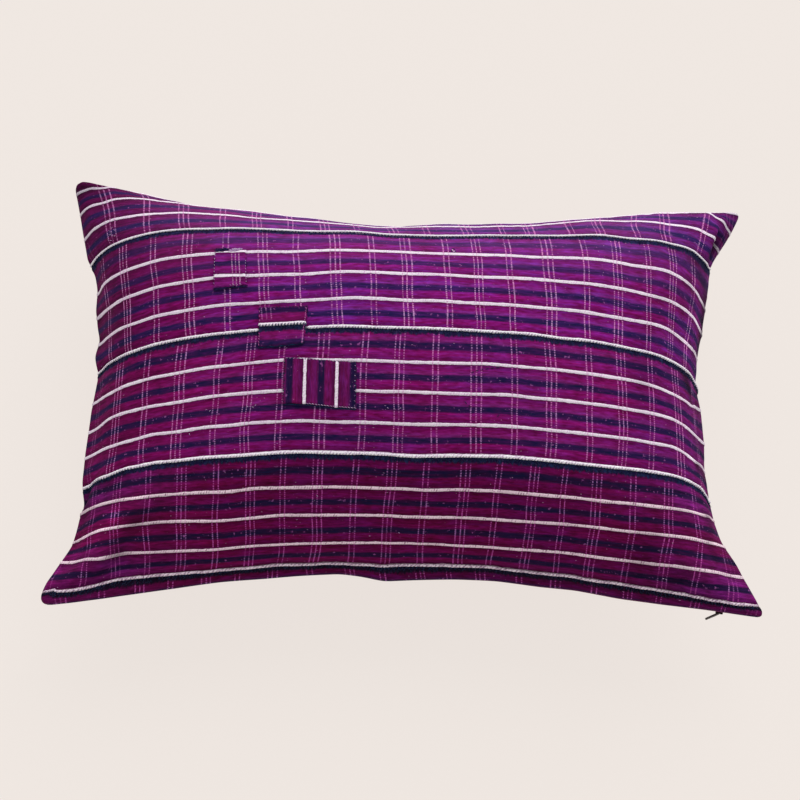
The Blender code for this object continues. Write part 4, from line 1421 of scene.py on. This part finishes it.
def tubes(paths, outward, radii, sides, runs=1, window=(0.0, 1.0)):
    """Round cords along many paths (path, point, xyz). outward points away from the
    cloth at each point. runs is how many rows of the baked colours a path takes, and
    window the share of the picture's height that all of them take."""
    paths, outward = np.asarray(paths, float), np.asarray(outward, float)
    count, steps = paths.shape[:2]
    along = np.gradient(paths, axis=1)
    length = np.linalg.norm(along, axis=-1, keepdims=True)
    along /= np.maximum(length, 1e-9)
    aside = np.cross(along, outward)
    aside /= np.maximum(np.linalg.norm(aside, axis=-1, keepdims=True), 1e-9)
    up = np.cross(aside, along)
    angle = np.arange(sides) * 2 * math.pi / sides
    radii = np.broadcast_to(np.asarray(radii, float), (count, steps, sides))
    points = paths[:, :, None] + radii[..., None] * (
        np.cos(angle)[:, None] * aside[:, :, None] + np.sin(angle)[:, None] * up[:, :, None]
    )
    number = np.arange(count * steps * sides).reshape(count, steps, sides)
    after = np.roll(number, -1, axis=2)
    walls = np.stack([number[:, :-1], number[:, 1:], after[:, 1:], after[:, :-1]], -1)
    half = sides // 2
    pairs = np.array([(k, k + 1, sides - 2 - k, sides - 1 - k) for k in range(half - 1)])
    first, last = number[:, 0][:, pairs], number[:, -1][:, pairs[:, ::-1]]

    cells = count * runs
    across = 1 if runs > 1 else int(math.ceil(math.sqrt(cells)))
    down = int(math.ceil(cells / across))
    per = int(math.ceil((steps - 1) / runs))
    path, step, around = np.meshgrid(
        np.arange(count), np.arange(steps - 1), np.arange(sides), indexing="ij"
    )
    cell = path * runs + step // per
    col, row = cell % across, cell // across
    s0, s1 = (step % per) / per, (step % per + 1) / per
    t0, t1 = around / sides, (around + 1) / sides

    def place(s, t):
        x = (col + 0.02 + 0.96 * s) / across
        y = (row + 0.04 + 0.80 * t) / down
        return np.stack([x, window[0] + (window[1] - window[0]) * y], -1)

    wall_places = np.stack([place(s0, t0), place(s1, t0), place(s1, t1), place(s0, t1)], -2)

    def cap_places(at_cell, x0, x1):
        col, row = at_cell % across, at_cell // across
        k = np.arange(half - 1)
        low = x0 + (x1 - x0) * (k + 0.1) / (half - 1)
        high = x0 + (x1 - x0) * (k + 0.9) / (half - 1)
        out = []
        for x, y in ((low, 0.88), (high, 0.88), (high, 0.97), (low, 0.97)):
            px = (col[:, None] + x[None, :]) / across
            py = (row[:, None] + y) / down + 0 * px
            out.append(np.stack([px, window[0] + (window[1] - window[0]) * py], -1))
        return np.stack(out, -2)

    starts = np.arange(count) * runs
    ends = starts + (steps - 2) // per
    places = np.concatenate(
        [
            wall_places.reshape(-1, 2),
            cap_places(starts, 0.02, 0.46).reshape(-1, 2),
            cap_places(ends, 0.54, 0.98).reshape(-1, 2),
        ]
    )
    faces = np.concatenate([walls.reshape(-1, 4), first.reshape(-1, 4), last.reshape(-1, 4)])
    run = np.cumsum(length[..., 0], axis=1)
    turn = np.stack(
        np.broadcast_arrays(
            np.cos(angle)[None, None], np.sin(angle)[None, None], run[:, :, None]
        ),
        -1,
    ).reshape(-1, 3)
    which = np.broadcast_to(np.arange(count)[:, None, None], (count, steps, sides)).ravel()
    return points.reshape(-1, 3), faces, places, turn, which.astype(float)


def joined(name, parts):
    """One piece from several sets of cords."""
    points, faces, places, turns, which = [], [], [], [], []
    first, number = 0, 0
    for p, f, pl, t, w in parts:
        points.append(p)
        faces.append(f + first)
        places.append(pl)
        turns.append(t)
        which.append(w + number)
        first += len(p)
        number += w.max() + 1
    return make_mesh(
        name,
        np.concatenate(points),
        np.concatenate(faces),
        {"turn": np.concatenate(turns), "which": np.concatenate(which)},
        np.concatenate(places),
    )


def yarn(name, tones, seed, lay=0.0020, notch=0.0, rough=0.9, depth=0.0002, plied=1.0):
    """Twisted yarn: dark, middle and light tones follow its plies, the dark tone painted shade in the hollows between
    them.
    """
    n = Nodes(name)
    turn = n.field("turn")
    parts = n.node("ShaderNodeSeparateXYZ")
    n.tree.links.new(turn.outputs["Vector"], parts.inputs[0])
    c, s, run = parts.outputs[0], parts.outputs[1], parts.outputs[2]
    which = n.field("which").outputs["Fac"]
    # Plies wind round: the cosine of twice the angle less the lay's own angle.
    twice_c = n.sub(n.mul(c, c), n.mul(s, s))
    twice_s = n.mul(n.mul(c, s), 2.0)
    lay_angle = n.mul(run, 2 * math.pi / lay)
    ply = n.add(n.mul(twice_c, n.math("COSINE", lay_angle)), n.mul(twice_s, n.math("SINE", lay_angle)))
    place = n.vector(n.mul(c, 0.6), n.mul(s, 0.6), n.add(n.mul(run, 900.0), n.mul(which, 7.7)))
    fine = n.noise(place, 1.0, 3.0, 0.6)
    broad = n.noise(n.vector(n.mul(which, 3.1), seed, n.mul(run, 90.0)), 1.0, 2.0, 0.5)
    dark, middle, light = tones
    # The dark tone is painted shade in the hollows between the plies.
    colour = n.mix(n.step(n.add(n.mul(ply, 0.22 * plied), fine), 0.24, 0.52), dark, middle)
    colour = n.mix(n.step(n.add(n.mul(ply, 0.15 * plied), n.add(fine, n.mul(n.sub(broad, 0.5), 0.5))), 0.40, 0.66), colour, light)
    if notch:
        # The whip stitches bite into its lower side.
        slanted = n.add(n.add(run, n.mul(c, 0.0007)), n.mul(n.sub(broad, 0.5), 0.0050))
        bite = n.math("COSINE", n.mul(slanted, 2 * math.pi / notch))
        bite = n.mul(n.step(n.add(bite, n.mul(n.sub(fine, 0.5), 0.8)), 0.45, 0.85), n.step(c, -0.25, 0.45))
        colour = n.mix(n.mul(bite, 0.62), colour, rgb(44, 40, 76))
    height = n.add(n.mul(ply, 0.5 * plied), fine)
    normal = n.bump(height, depth, 0.7)
    return n.finish(colour, n.spread(fine, 0.2, 0.8, rough - 0.08, min(rough + 0.06, 1.0)), normal, sheen=0.08, sheen_colour=(0.9, 0.8, 0.95, 1), sheen_rough=0.5, specular=0.10)


# Half the thickness of each seam's selvedge, how high its middle lies over the body, and
# how far down from the seam.
SEAM_R = {"seam_1": 0.00098, "seam_2": 0.00134, "seam_3": 0.00140, "seam_4": 0.00116}
SEAM_RISE = {"seam_1": 0.0021, "seam_2": 0.0017, "seam_3": 0.0017, "seam_4": 0.0017}
SEAM_DROP = {"seam_1": 0.0011, "seam_2": 0.0007, "seam_3": 0.0007, "seam_4": 0.0004}
ROPE_WHITE = (rgb(206, 180, 210), rgb(246, 234, 246), rgb(255, 252, 255))
SEAMS = {
    # seam: (pitches, strip above, stitch spacing)
    "seam_1": (3.30, "strip_1", 0.0030),
    "seam_2": (7.30, "strip_2", 0.0028),
    "seam_3": (11.30, "strip_3", 0.0028),
    "seam_4": (15.30, "strip_4", 0.0030),
}
ROPE_YARN = yarn("selvedge_yarn", ROPE_WHITE, 71.0, lay=0.0034, notch=0.0026, plied=0.4)
THIN_ROPE_YARN = yarn(
    "thin_selvedge_yarn", (rgb(224, 200, 228), rgb(250, 240, 250), rgb(255, 253, 255)), 76.0, lay=0.0034, plied=0.3
)
WORN_ROPE_YARN = yarn(
    "worn_selvedge_yarn", (rgb(140, 112, 138), rgb(204, 178, 196), rgb(242, 226, 236)), 78.0, lay=0.0034, notch=0.0026, plied=0.5
)
DARK_THREAD = yarn("dark_thread", (rgb(9, 14, 40), rgb(15, 26, 62), rgb(28, 52, 90)), 72.0, lay=0.0011)


def seam_line(pitches, u):
    return pitches * PITCH + drift(u, np.full_like(u, pitches))


def lay_on(u, v, height):
    """Points over the front and the way outward there."""
    points, ru, rv = on_front(u, v, height)
    return points, face_normal(ru, rv, "front")


def rope_along(u, v, height, radius, window, runs, seed, lay=0.0034, bite=0.0026):
    points, outward = lay_on(u, v, height)
    sides = 10
    angle = np.arange(sides) * 2 * math.pi / sides
    run = np.concatenate([[0], np.cumsum(np.linalg.norm(np.diff(points, axis=0), axis=1))])
    ply = np.cos(2 * angle[None, :] - 2 * math.pi * run[:, None] / lay)
    slanted = run[:, None] + 0.0007 * np.cos(angle)[None, :]
    bitten = (np.cos(2 * math.pi * slanted / bite) > 0.6) * (np.cos(angle)[None, :] > 0.2)
    wander = uneven(seed, 3, 90)(np.full(len(run), 0.5), run / run[-1])
    radii = radius * (1 + 0.04 * ply - 0.09 * bitten + 0.14 * wander[:, None])
    taper = np.clip(np.minimum(run, run[-1] - run) / 0.0015, 0.25, 1)[:, None]
    return tubes(points[None], outward[None], (radii * taper)[None], sides, runs, window)


def make_seam(name, order):
    pitches, above, spacing = SEAMS[name]
    chance = np.random.RandomState(300 + order)
    left, right = 0.0022, COVER_W - 0.0022
    gap = (0.1772, 0.2182) if name == "seam_2" else None
    spans = [(left, right)] if gap is None else [(left, gap[0]), (gap[1], right)]
    share = [0.0] + [(b - left) / (right - left) for a, b in spans]
    parts = []
    for k, (start, end) in enumerate(spans):
        u = np.linspace(start, end, int(round((end - start) / 0.00068)))
        v = seam_line(pitches, u)
        window = (share[k], share[k + 1])
        runs = max(int(round(9 * (window[1] - window[0]))), 2)
        parts.append(
            rope_along(u, v + SEAM_DROP[name], np.full_like(u, GAP + SEAM_RISE[name]), SEAM_R[name], window, runs, 330 + 7 * order + k)
        )
    rope = joined(name + "_rope", parts)
    rope.data.materials.append({"seam_1": THIN_ROPE_YARN, "seam_4": WORN_ROPE_YARN}.get(name, ROPE_YARN))

    # Whip stitches in dark thread, from the strip below into the white selvedge.
    at = np.arange(0.005, COVER_W - 0.004, spacing)
    at = at + chance.uniform(-0.0004, 0.0004, len(at))
    if gap is not None:
        at = at[(at < gap[0] - 0.001) | (at > gap[1] + 0.001)]
    down = np.array([3.6, 2.9, 2.0, 1.1, 0.5, 0.15]) / 1000
    high = np.array([1.55, 2.10, 2.15, 2.15, 2.40, 2.15]) / 1000
    lean = np.array([-0.55, -0.45, -0.15, 0.20, 0.50, 0.60]) / 1000
    u = at[:, None] + lean * (1 + 0.4 * chance.uniform(-1, 1, (len(at), 1)))
    v = seam_line(pitches, u) + down * (1 + 0.22 * chance.uniform(-1, 1, (len(at), 1)))
    h = GAP + high + chance.uniform(-0.00012, 0.00012, (len(at), 1))
    points, outward = lay_on(u, v, h)
    bead = 0.00033 * np.array([0.6, 1, 1.05, 1.05, 0.9, 0.4])[None, :, None]
    stitches = tubes(points, outward, bead, 6, 1, (0.0, 0.42))

    # Fuzz of the dark edge under the seam.
    count = 950
    u0 = chance.uniform(0.004, COVER_W - 0.004, count)
    if gap is not None:
        u0 = u0[(u0 < gap[0] - 0.002) | (u0 > gap[1] + 0.002)]
    count = len(u0)
    d0 = (1.3 + 4.2 * chance.uniform(0, 1, count) ** 1.5) / 1000
    way = chance.uniform(-0.9, 0.9, count)
    long = chance.uniform(1.0, 2.5, count) / 1000
    t = np.array([0.0, 0.5, 1.0])
    u = u0[:, None] + np.sin(way)[:, None] * long[:, None] * t
    d = d0[:, None] + np.cos(way)[:, None] * long[:, None] * t
    v = seam_line(pitches, u) + d
    rise = chance.uniform(0.1, 0.75, count)[:, None] / 1000
    h = GAP + (1.75 + 0.1 * t) / 1000 + rise * np.sin(math.pi * np.clip(t, 0, 0.8))
    points, outward = lay_on(u, v, h)
    thin = np.array([0.00018, 0.00016, 0.00005])[None, :, None] * np.ones((1, 1, 4))
    fuzz = tubes(points, outward, thin, 4, 1, (0.43, 1.0))
    dark = joined(name + "_stitches", [stitches, fuzz])
    dark.data.materials.append(DARK_THREAD)
    for piece in (rope, dark):
        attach(piece, "root")
    return rope, dark


SEAM_PIECES = {above: [] for above in STRIPS}
for order, name in enumerate(SEAMS):
    SEAM_PIECES[SEAMS[name][1]] += make_seam(name, order)

# ------------------------------------------------------------------ mending patches

PATCH_LIFT = 0.00085  # the patch's underside over the cloth's outer side
UNEVEN_PATCH = uneven(41, 14, 12)


def patch_place(name, s, t):
    """Across and pitches at a share of a patch."""
    tl, tr, br, bl = (np.array(corner, float) for corner in PATCHES[name])
    s, t = s[..., None], t[..., None]
    spot = tl * (1 - s) * (1 - t) + tr * s * (1 - t) + br * s * t + bl * (1 - s) * t
    return spot[..., 0] / 1000, spot[..., 1]


PATCH_FLAT = {
    # patch: (wide, high), in metres
    "patch_small": (0.0285, 0.0400),
    "patch_seam": (0.0405, 0.0362),
    "patch_striped": (0.0615, 0.0400),
}


def patch_edge(name, s, t):
    wide, high = PATCH_FLAT[name]
    return np.minimum(np.minimum(s, 1 - s) * wide, np.minimum(t, 1 - t) * high)


def patch_top(name, s, t):
    """Height of a patch's outer side over the body."""
    wide, high = PATCH_FLAT[name]
    d = patch_edge(name, s, t)
    turn = np.sqrt(np.clip(1 - (1 - np.clip(d / 0.0010, 0, 1)) ** 2, 0, 1))
    lift = PATCH_LIFT + 0.00018 * UNEVEN_PATCH(s, t)
    hem = 0.00035 * np.exp(-(((d - 0.0021) / 0.0013) ** 2))
    # The lower hem stands off the cloth a little.
    loose = 0.0007 * np.exp(-(((1 - t) * high / 0.0035) ** 2))
    return GAP + CLOTH + lift + loose + (PATCH_CLOTH + hem) * (0.22 + 0.78 * turn)


def patch_under(name, s, t):
    wide, high = PATCH_FLAT[name]
    loose = 0.0006 * np.exp(-(((1 - t) * high / 0.0035) ** 2))
    return GAP + CLOTH + PATCH_LIFT + 0.00018 * UNEVEN_PATCH(s, t) + loose - 0.0001


def patch_points(name, s, t, over=0.0):
    """Points on a patch's outer side, or a height over it."""
    u, p = patch_place(name, s, t)
    v = p * PITCH + drift(u, p)
    return lay_on(u, v, patch_top(name, s, t) + over)


def make_patch(name, pattern):
    wide, high = PATCH_FLAT[name]
    cols = spaced(0, wide, 0.0008, ("start", "end")) / wide
    rows = spaced(0, high, 0.0008, ("start", "end")) / high
    s, t = np.meshgrid(cols, rows)
    # Hand-cut edges wander.
    wave_s = 0.0005 * np.sin(31 * t + 2 * wide * 900) / wide
    wave_t = 0.0004 * np.sin(27 * s + 3 * high * 900) / high
    bent_s, bent_t = s + wave_s * (2 * np.abs(s - 0.5)), t + wave_t * (2 * np.abs(t - 0.5))
    u, p = patch_place(name, bent_s, bent_t)
    v = p * PITCH + drift(u, p)
    outer, _, _ = on_front(u, v, patch_top(name, s, t))
    inner, _, _ = on_front(u, v, patch_under(name, s, t))
    cloth, sewn = pattern(u, p, s, t)
    fields = {"cloth": cloth, "sewn": sewn, "painted_shading": np.zeros_like(u)}
    return closed_sheet(name + "_cloth", outer, inner, fields)


def small_pattern(u, p, s, t):
    # Three pink lines, and a faint fourth, slant to the right on the way down.
    along = u - 0.0030 * (t - 0.5)
    groups = (along - 0.1562) / 0.0240
    return np.stack([u + 0.31, p + 0.005 - 0.05 * s, groups], -1), np.ones_like(u)


PATCH_SEAM_AT = 7.19  # where the patch's own seam runs, in pitches


def seam_pattern(u, p, s, t):
    below = np.clip(p - PATCH_SEAM_AT, 0, 9)
    pattern = np.where(p < PATCH_SEAM_AT, p + 0.14, 7.3 + below * (0.5 / 0.60))
    top = np.where(u < 0.2, (u - 0.1835 - 0.002 * t) / 0.0312, 0.46)
    low = np.where(u > 0.2133, (u - 0.2123) / 0.0312 + 1, 0.46)
    groups = np.where(p < 7.02, top, np.where(p < PATCH_SEAM_AT, 0.46, low))
    sewn = np.where(p < PATCH_SEAM_AT, 1.0, (p - PATCH_SEAM_AT) * PITCH)
    return np.stack([u + 0.17, pattern, groups], -1), sewn


def striped_pattern(u, p, s, t):
    # The cloth is turned by a quarter: its warp runs down.
    across = 0.3 + (u - 0.2184) / 0.0271
    along = p * PITCH
    return np.stack([along + 0.05, across, np.full_like(u, 0.45)], -1), np.ones_like(u)


PATCH_LOOKS = {
    # patch: (pattern, wine threads, violet threads, navy threads, dark under its seam,
    # pink threads' strength and paleness, seed)
    "patch_small": (small_pattern, rgb(128, 18, 104), rgb(110, 34, 124), rgb(44, 34, 96), False, (1.1, 0.45), 81.0),
    "patch_seam": (seam_pattern, rgb(132, 16, 92), rgb(106, 24, 106), rgb(28, 26, 80), True, (1.0, 0.1), 83.0),
    "patch_striped": (striped_pattern, rgb(118, 15, 80), rgb(92, 22, 90), rgb(18, 18, 62), False, (1.0, 0.0), 87.0),
}
for name, (pattern, red, violet, navy, dark, pinks, seed) in PATCH_LOOKS.items():
    piece = make_patch(name, pattern)
    piece.data.materials.append(
        woven(name + "_weave", red, violet, dark, seed, white_half=0.00118, navy=navy, pinks=pinks)
    )
    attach(piece, "root")
    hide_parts(name)


def stitches_on(name, spots, long, way, radius, window, rise=0.00035):
    """Short stitches at places of a patch (shares), lying along way (shares)."""
    wide, high = PATCH_FLAT[name]
    spots = np.array(spots, float)
    reach = np.linspace(-0.5, 0.5, 5)
    s = spots[:, 0:1] + reach * long * way[0] / wide
    t = spots[:, 1:2] + reach * long * way[1] / high
    over = rise * np.array([-0.8, 0.7, 1.0, 0.7, -0.8])
    inside_s, inside_t = np.clip(s, 0, 1), np.clip(t, 0, 1)
    u, p = patch_place(name, s, t)
    v = p * PITCH + drift(u, p)
    points, outward = lay_on(u, v, patch_top(name, inside_s, inside_t) + over)
    bead = radius * np.array([0.6, 1, 1, 1, 0.6])[None, :, None]
    return tubes(points, outward, bead, 6, 1, window)


def bundle(chance, count, u0, u1, p0, p1, height, radius, window, curl=0.0012, long=(0.5, 1.0)):
    """Loose fibres lying along a short stretch of the cloth."""
    steps = 9
    t = np.linspace(0, 1, steps)
    share = chance.uniform(long[0], long[1], count)
    begin = chance.uniform(0, 1, count) * (1 - share)
    a = begin[:, None] + share[:, None] * t
    across = u0 + (u1 - u0) * a
    phase, beat = chance.uniform(0, 6.3, count), chance.uniform(4, 12, count)
    p_mid = p0 + (p1 - p0) * chance.uniform(0, 1, count)
    p = p_mid[:, None] + curl / PITCH * np.sin(phase[:, None] + beat[:, None] * t)
    v = p * PITCH + drift(across, p)
    h = height + 0.0007 * chance.uniform(0, 1, (count, 1)) + 0.0004 * np.sin(
        2 * phase[:, None] + 1.7 * beat[:, None] * t
    )
    points, outward = lay_on(across, v, h)
    bead = radius * np.concatenate([[0.5], np.ones(steps - 2), [0.5]])[None, :, None]
    return tubes(points, outward, bead, 6, 1, window)


PALE_THREAD = yarn("pale_thread", (rgb(128, 84, 148), rgb(184, 142, 194), rgb(226, 204, 230)), 73.0, lay=0.0012)
NAVY_THREAD = yarn("navy_thread", (rgb(8, 8, 30), rgb(20, 18, 58), rgb(44, 40, 96)), 74.0, lay=0.0012)


def trim(name, parts, material):
    piece = joined(name, parts)
    piece.data.materials.append(material)
    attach(piece, "root")
    return piece


def make_patch_trims():
    chance = np.random.RandomState(77)
    trims = {name: [] for name in PATCHES}

    # Small patch: pale dashes down the left side, a ragged top of dark and pale yarn, and
    # a thick dark hem with pale whip stitches.
    left = [(0.015, t) for t in np.linspace(0.10, 0.86, 9)]
    right = [(0.985, t) for t in np.linspace(0.34, 0.90, 8)]
    low = [(s, 0.975) for s in np.linspace(0.52, 0.82, 4)]
    trims["patch_small"].append(
        trim(
            "patch_small_pale_stitches",
            [
                stitches_on("patch_small", left, 0.0017, (0.25, 1), 0.00024, (0.0, 0.2)),
                stitches_on("patch_small", right, 0.0014, (0.1, 1), 0.00018, (0.2, 0.4)),
                stitches_on("patch_small", low, 0.0015, (0.8, 0.6), 0.00020, (0.4, 0.5), 0.0008),
                bundle(chance, 14, 0.1490, 0.1625, 4.24, 4.31, GAP + CLOTH + 0.0019, 0.00030, (0.5, 1.0), 0.0006, (0.3, 0.8)),
            ],
            PALE_THREAD,
        )
    )
    hem_s = np.linspace(-0.03, 1.03, 60)
    u, p = patch_place("patch_small", hem_s, np.full(60, 1.0))
    v = p * PITCH + drift(u, p) + 0.0003
    cord = rope_along(u, v, np.full(60, GAP + CLOTH + 0.0012), 0.00080, (0.0, 0.3), 2, 351, lay=0.004, bite=0.005)
    trims["patch_small"].append(
        trim(
            "patch_small_dark_yarn",
            [
                cord,
                bundle(chance, 20, 0.1365, 0.1520, 4.19, 4.27, GAP + CLOTH + 0.0018, 0.00030, (0.32, 1.0), 0.0008, (0.3, 0.8)),
            ],
            NAVY_THREAD,
        )
    )

    # Patch across the seam: its own white selvedge rope, and dark hems.
    count = 64
    s = np.linspace(0.0, 1.0, count)
    tl, tr, br, bl = PATCHES["patch_seam"]
    high = (
        (PATCH_SEAM_AT - tl[1]) / (bl[1] - tl[1]),
        (PATCH_SEAM_AT - tr[1]) / (br[1] - tr[1]),
    )
    t = high[0] + (high[1] - high[0]) * s - 0.01
    u, p = patch_place("patch_seam", s, t)
    v = p * PITCH + drift(u, p)
    top = GAP + CLOTH + PATCH_LIFT + PATCH_CLOTH
    rope = rope_along(u, v, np.full(count, top + 0.0002), SEAM_R["seam_2"], (0, 1), 2, 352)
    trims["patch_seam"].append(trim("patch_seam_rope", [rope], ROPE_YARN))
    at = np.arange(0.03, 0.98, 0.0027 / 0.0405)
    down = np.array([2.9, 2.2, 1.1, 0.2, -0.4, -0.75]) / 1000
    over = np.array([-0.15, 0.35, 0.85, 1.35, 1.25, 0.7]) / 1000
    lean = np.array([-0.55, -0.45, -0.15, 0.20, 0.50, 0.60]) / 1000 / 0.0405
    s = at[:, None] + lean
    u, p = patch_place("patch_seam", s, high[0] + (high[1] - high[0]) * s)
    v = p * PITCH + drift(u, p) + down
    points, outward = lay_on(u, v, top + over + 0 * u)
    bead = 0.00036 * np.array([0.6, 1, 1.05, 1.05, 0.95, 0.5])[None, :, None]
    bites = tubes(points, outward, bead, 6, 1, (0.0, 0.15))
    fuzz_u = chance.uniform(0.178, 0.2165, 90)
    t3 = np.array([0.0, 0.5, 1.0])
    way = chance.uniform(-0.9, 0.9, (90, 1))
    long = chance.uniform(1.0, 2.3, (90, 1)) / 1000
    u = fuzz_u[:, None] + np.sin(way) * long * t3
    d = chance.uniform(0.5, 3.3, (90, 1)) / 1000 + np.cos(way) * long * t3
    v = PATCH_SEAM_AT * PITCH + drift(u, np.full_like(u, PATCH_SEAM_AT)) + d
    points, outward = lay_on(u, v, top + 0.0001 + 0.0004 * np.sin(3 * t3) + 0 * u)
    thin = np.array([0.00018, 0.00016, 0.00005])[None, :, None] * np.ones((1, 1, 4))
    fuzz = tubes(points, outward, thin, 4, 1, (0.15, 0.35))
    hem_s = np.linspace(-0.01, 1.01, 60)
    u, p = patch_place("patch_seam", hem_s, np.full(60, 1.0))
    v = p * PITCH + drift(u, p)
    cord = rope_along(u, v, np.full(60, GAP + CLOTH + 0.0014), 0.00075, (0.35, 0.6), 2, 353, lay=0.004, bite=0.005)
    edge = [(s, 0.02) for s in np.linspace(0.04, 0.97, 15)]
    edge_stitches = stitches_on("patch_seam", edge, 0.0022, (0.8, 0.6), 0.00026, (0.62, 0.8))
    trims["patch_seam"].append(
        trim("patch_seam_dark_stitches", [bites, fuzz, cord, edge_stitches], DARK_THREAD)
    )
    left = [(0.015, t) for t in (0.70, 0.76, 0.82, 0.88, 0.94)] + [(0.02, t) for t in (0.12, 0.25, 0.36)]
    right = [(0.975, t) for t in np.linspace(0.10, 0.42, 6)] + [(0.97, t) for t in np.linspace(0.56, 0.97, 7)]
    trims["patch_seam"].append(
        trim(
            "patch_seam_pale_stitches",
            [
                stitches_on("patch_seam", left, 0.0019, (0.2, 1), 0.00024, (0.0, 0.4)),
                stitches_on("patch_seam", right, 0.0021, (0.1, 1), 0.00026, (0.4, 1.0)),
            ],
            yarn("pink_thread", (rgb(132, 40, 112), rgb(190, 84, 160), rgb(222, 140, 200)), 75.0, lay=0.0012),
        )
    )

    # Turned patch: dark thread round it, and fine pale whip stitches along the bottom.
    low = [(s, 0.985) for s in np.linspace(0.34, 0.99, 17)]
    side = [(0.985, t) for t in np.linspace(0.08, 0.95, 9)]
    top_row = [(s, 0.012) for s in np.linspace(0.03, 0.40, 8)]
    trims["patch_striped"].append(
        trim(
            "patch_striped_pale_stitches",
            [
                stitches_on("patch_striped", low, 0.0024, (0.95, 0.3), 0.00022, (0.0, 0.4)),
                stitches_on("patch_striped", side, 0.0012, (0.9, 0.4), 0.00020, (0.4, 0.7)),
                stitches_on("patch_striped", top_row, 0.0024, (0.95, -0.2), 0.00022, (0.7, 1.0)),
            ],
            PALE_THREAD,
        )
    )
    hem_s = np.linspace(-0.01, 1.01, 90)
    u, p = patch_place("patch_striped", hem_s, np.full(90, 1.0))
    v = p * PITCH + drift(u, p) + 0.0006
    cord = rope_along(u, v, np.full(90, GAP + CLOTH + 0.0009), 0.00062, (0.0, 0.3), 2, 354, lay=0.004, bite=0.005)
    sides = [(0.008, t) for t in np.linspace(0.04, 0.96, 13)] + [(0.992, t) for t in np.linspace(0.04, 0.96, 13)]
    side_stitches = stitches_on("patch_striped", sides, 0.0024, (0.9, 0.5), 0.00026, (0.32, 0.6))
    top_edge = [(s, 0.01) for s in np.linspace(0.02, 0.98, 22)]
    top_stitches = stitches_on("patch_striped", top_edge, 0.0020, (0.6, 0.8), 0.00024, (0.62, 1.0))
    trims["patch_striped"].append(
        trim("patch_striped_dark_stitches", [cord, side_stitches, top_stitches], DARK_THREAD)
    )
    return trims


PATCH_TRIMS = make_patch_trims()

# ------------------------------------------------------------------ darning marks


def marks(chance, spots, long, radius, window, spread=0.5):
    """Small stitches lying on the cloth at (across mm, pitches, way in radians)."""
    spots = np.array(spots, float)
    reach = np.linspace(-0.5, 0.5, 5)
    u = spots[:, 0:1] / 1000 + reach * long * np.cos(spots[:, 2:3])
    p = spots[:, 1:2] + reach * long * np.sin(spots[:, 2:3]) / PITCH
    v = p * PITCH + drift(u, p)
    h = GAP + CLOTH + 0.00035 * np.array([-0.9, 0.8, 1.1, 0.8, -0.9]) + 0 * u
    points, outward = lay_on(u, v, h)
    bead = radius * np.array([0.6, 1, 1, 1, 0.6])[None, :, None]
    return tubes(points, outward, bead, 6, 1, window)


MARKS_PALE = [
    # (across mm, pitches, way)
    (35.5, 2.72, 0.7), (38.5, 2.66, -0.6), (41.0, 2.78, 0.9), (37.0, 2.90, -0.8),
    (40.0, 2.98, 0.6), (35.0, 3.05, 0.8), (42.5, 3.02, -0.7), (38.0, 3.12, 0.4),
    (134.5, 9.72, 0.4), (137.5, 9.78, -0.8), (169.5, 9.74, 0.8), (172.5, 9.66, -0.4),
    (174.5, 9.78, 0.5), (176.5, 9.72, -0.9), (181.0, 10.27, 0.3), (119.5, 10.46, 1.3),
    (289.0, 9.86, 0.8), (294.5, 9.88, 0.5), (299.5, 9.85, -0.4), (229.0, 12.6, 1.1),
    (530.5, 14.8, 0.2), (533.0, 14.82, 0.9), (300.5, 13.92, 0.6),
]
MARKS_BRIGHT = [(367.2, 5.31, 0.3), (368.2, 5.36, 1.2), (368.8, 5.30, -0.6), (367.8, 5.40, 0.8), (342.2, 4.14, 0.9), (343.6, 4.20, -0.7)]
MARKS_DARK = [
    (341.2, 4.18, 1.5), (343.0, 4.07, 0.2), (344.6, 4.16, 1.4), (342.6, 4.27, 0.1),
    (360.0, 8.62, -0.5), (364.0, 8.56, -0.4), (368.0, 8.52, -0.3), (372.5, 8.49, -0.2),
    (377.0, 8.45, -0.2), (381.5, 8.42, -0.2), (362.0, 8.74, 0.7), (366.0, 8.82, 0.6),
    (355.0, 9.60, 0.9), (358.5, 9.72, 0.9), (383.0, 10.0, -0.8),
]
DARN_CHANCE = np.random.RandomState(91)
trim("darning_pale", [marks(DARN_CHANCE, MARKS_PALE, 0.0019, 0.00022, (0, 1))], PALE_THREAD)
trim("darning_bright", [marks(DARN_CHANCE, MARKS_BRIGHT, 0.0022, 0.00046, (0, 1))], yarn("bright_thread", (rgb(200, 120, 200), rgb(240, 190, 236), rgb(252, 236, 250)), 76.0))
trim("darning_dark", [marks(DARN_CHANCE, MARKS_DARK, 0.0036, 0.00026, (0, 1))], NAVY_THREAD)

# ------------------------------------------------------------------ zip pull


def dark_metal():
    """Burnished dark metal, worn paler on its edges and finely scratched."""
    n = Nodes("zip_metal")
    spot = n.node("ShaderNodeTexCoord").outputs["Object"]
    geometry = n.node("ShaderNodeNewGeometry")
    worn = n.step(geometry.outputs["Pointiness"], 0.52, 0.60)
    grain = n.noise(spot, 900.0, 3.0, 0.6)
    stretched = n.node("ShaderNodeVectorMath", operation="MULTIPLY")
    n.feed(stretched.inputs[0], spot)
    stretched.inputs[1].default_value = (300.0, 4200.0, 900.0)
    scratch = n.noise(stretched.outputs[0], 1.0, 2.0, 0.6)
    colour = n.mix(grain, rgb(20, 17, 18), rgb(44, 38, 36))
    colour = n.mix(n.mul(worn, 0.5), colour, rgb(112, 102, 96))
    rough = n.add(n.spread(grain, 0.2, 0.8, 0.42, 0.58), n.mul(n.step(scratch, 0.6, 0.75), 0.18))
    normal = n.bump(n.add(grain, n.mul(scratch, 0.6)), 0.00006, 0.5)
    return n.finish(colour, rough, normal, specular=0.4, metallic=0.7)


zip_pull = bpy.data.objects["zip_pull"]
zip_pull.data.materials.clear()
zip_pull.data.materials.append(dark_metal())
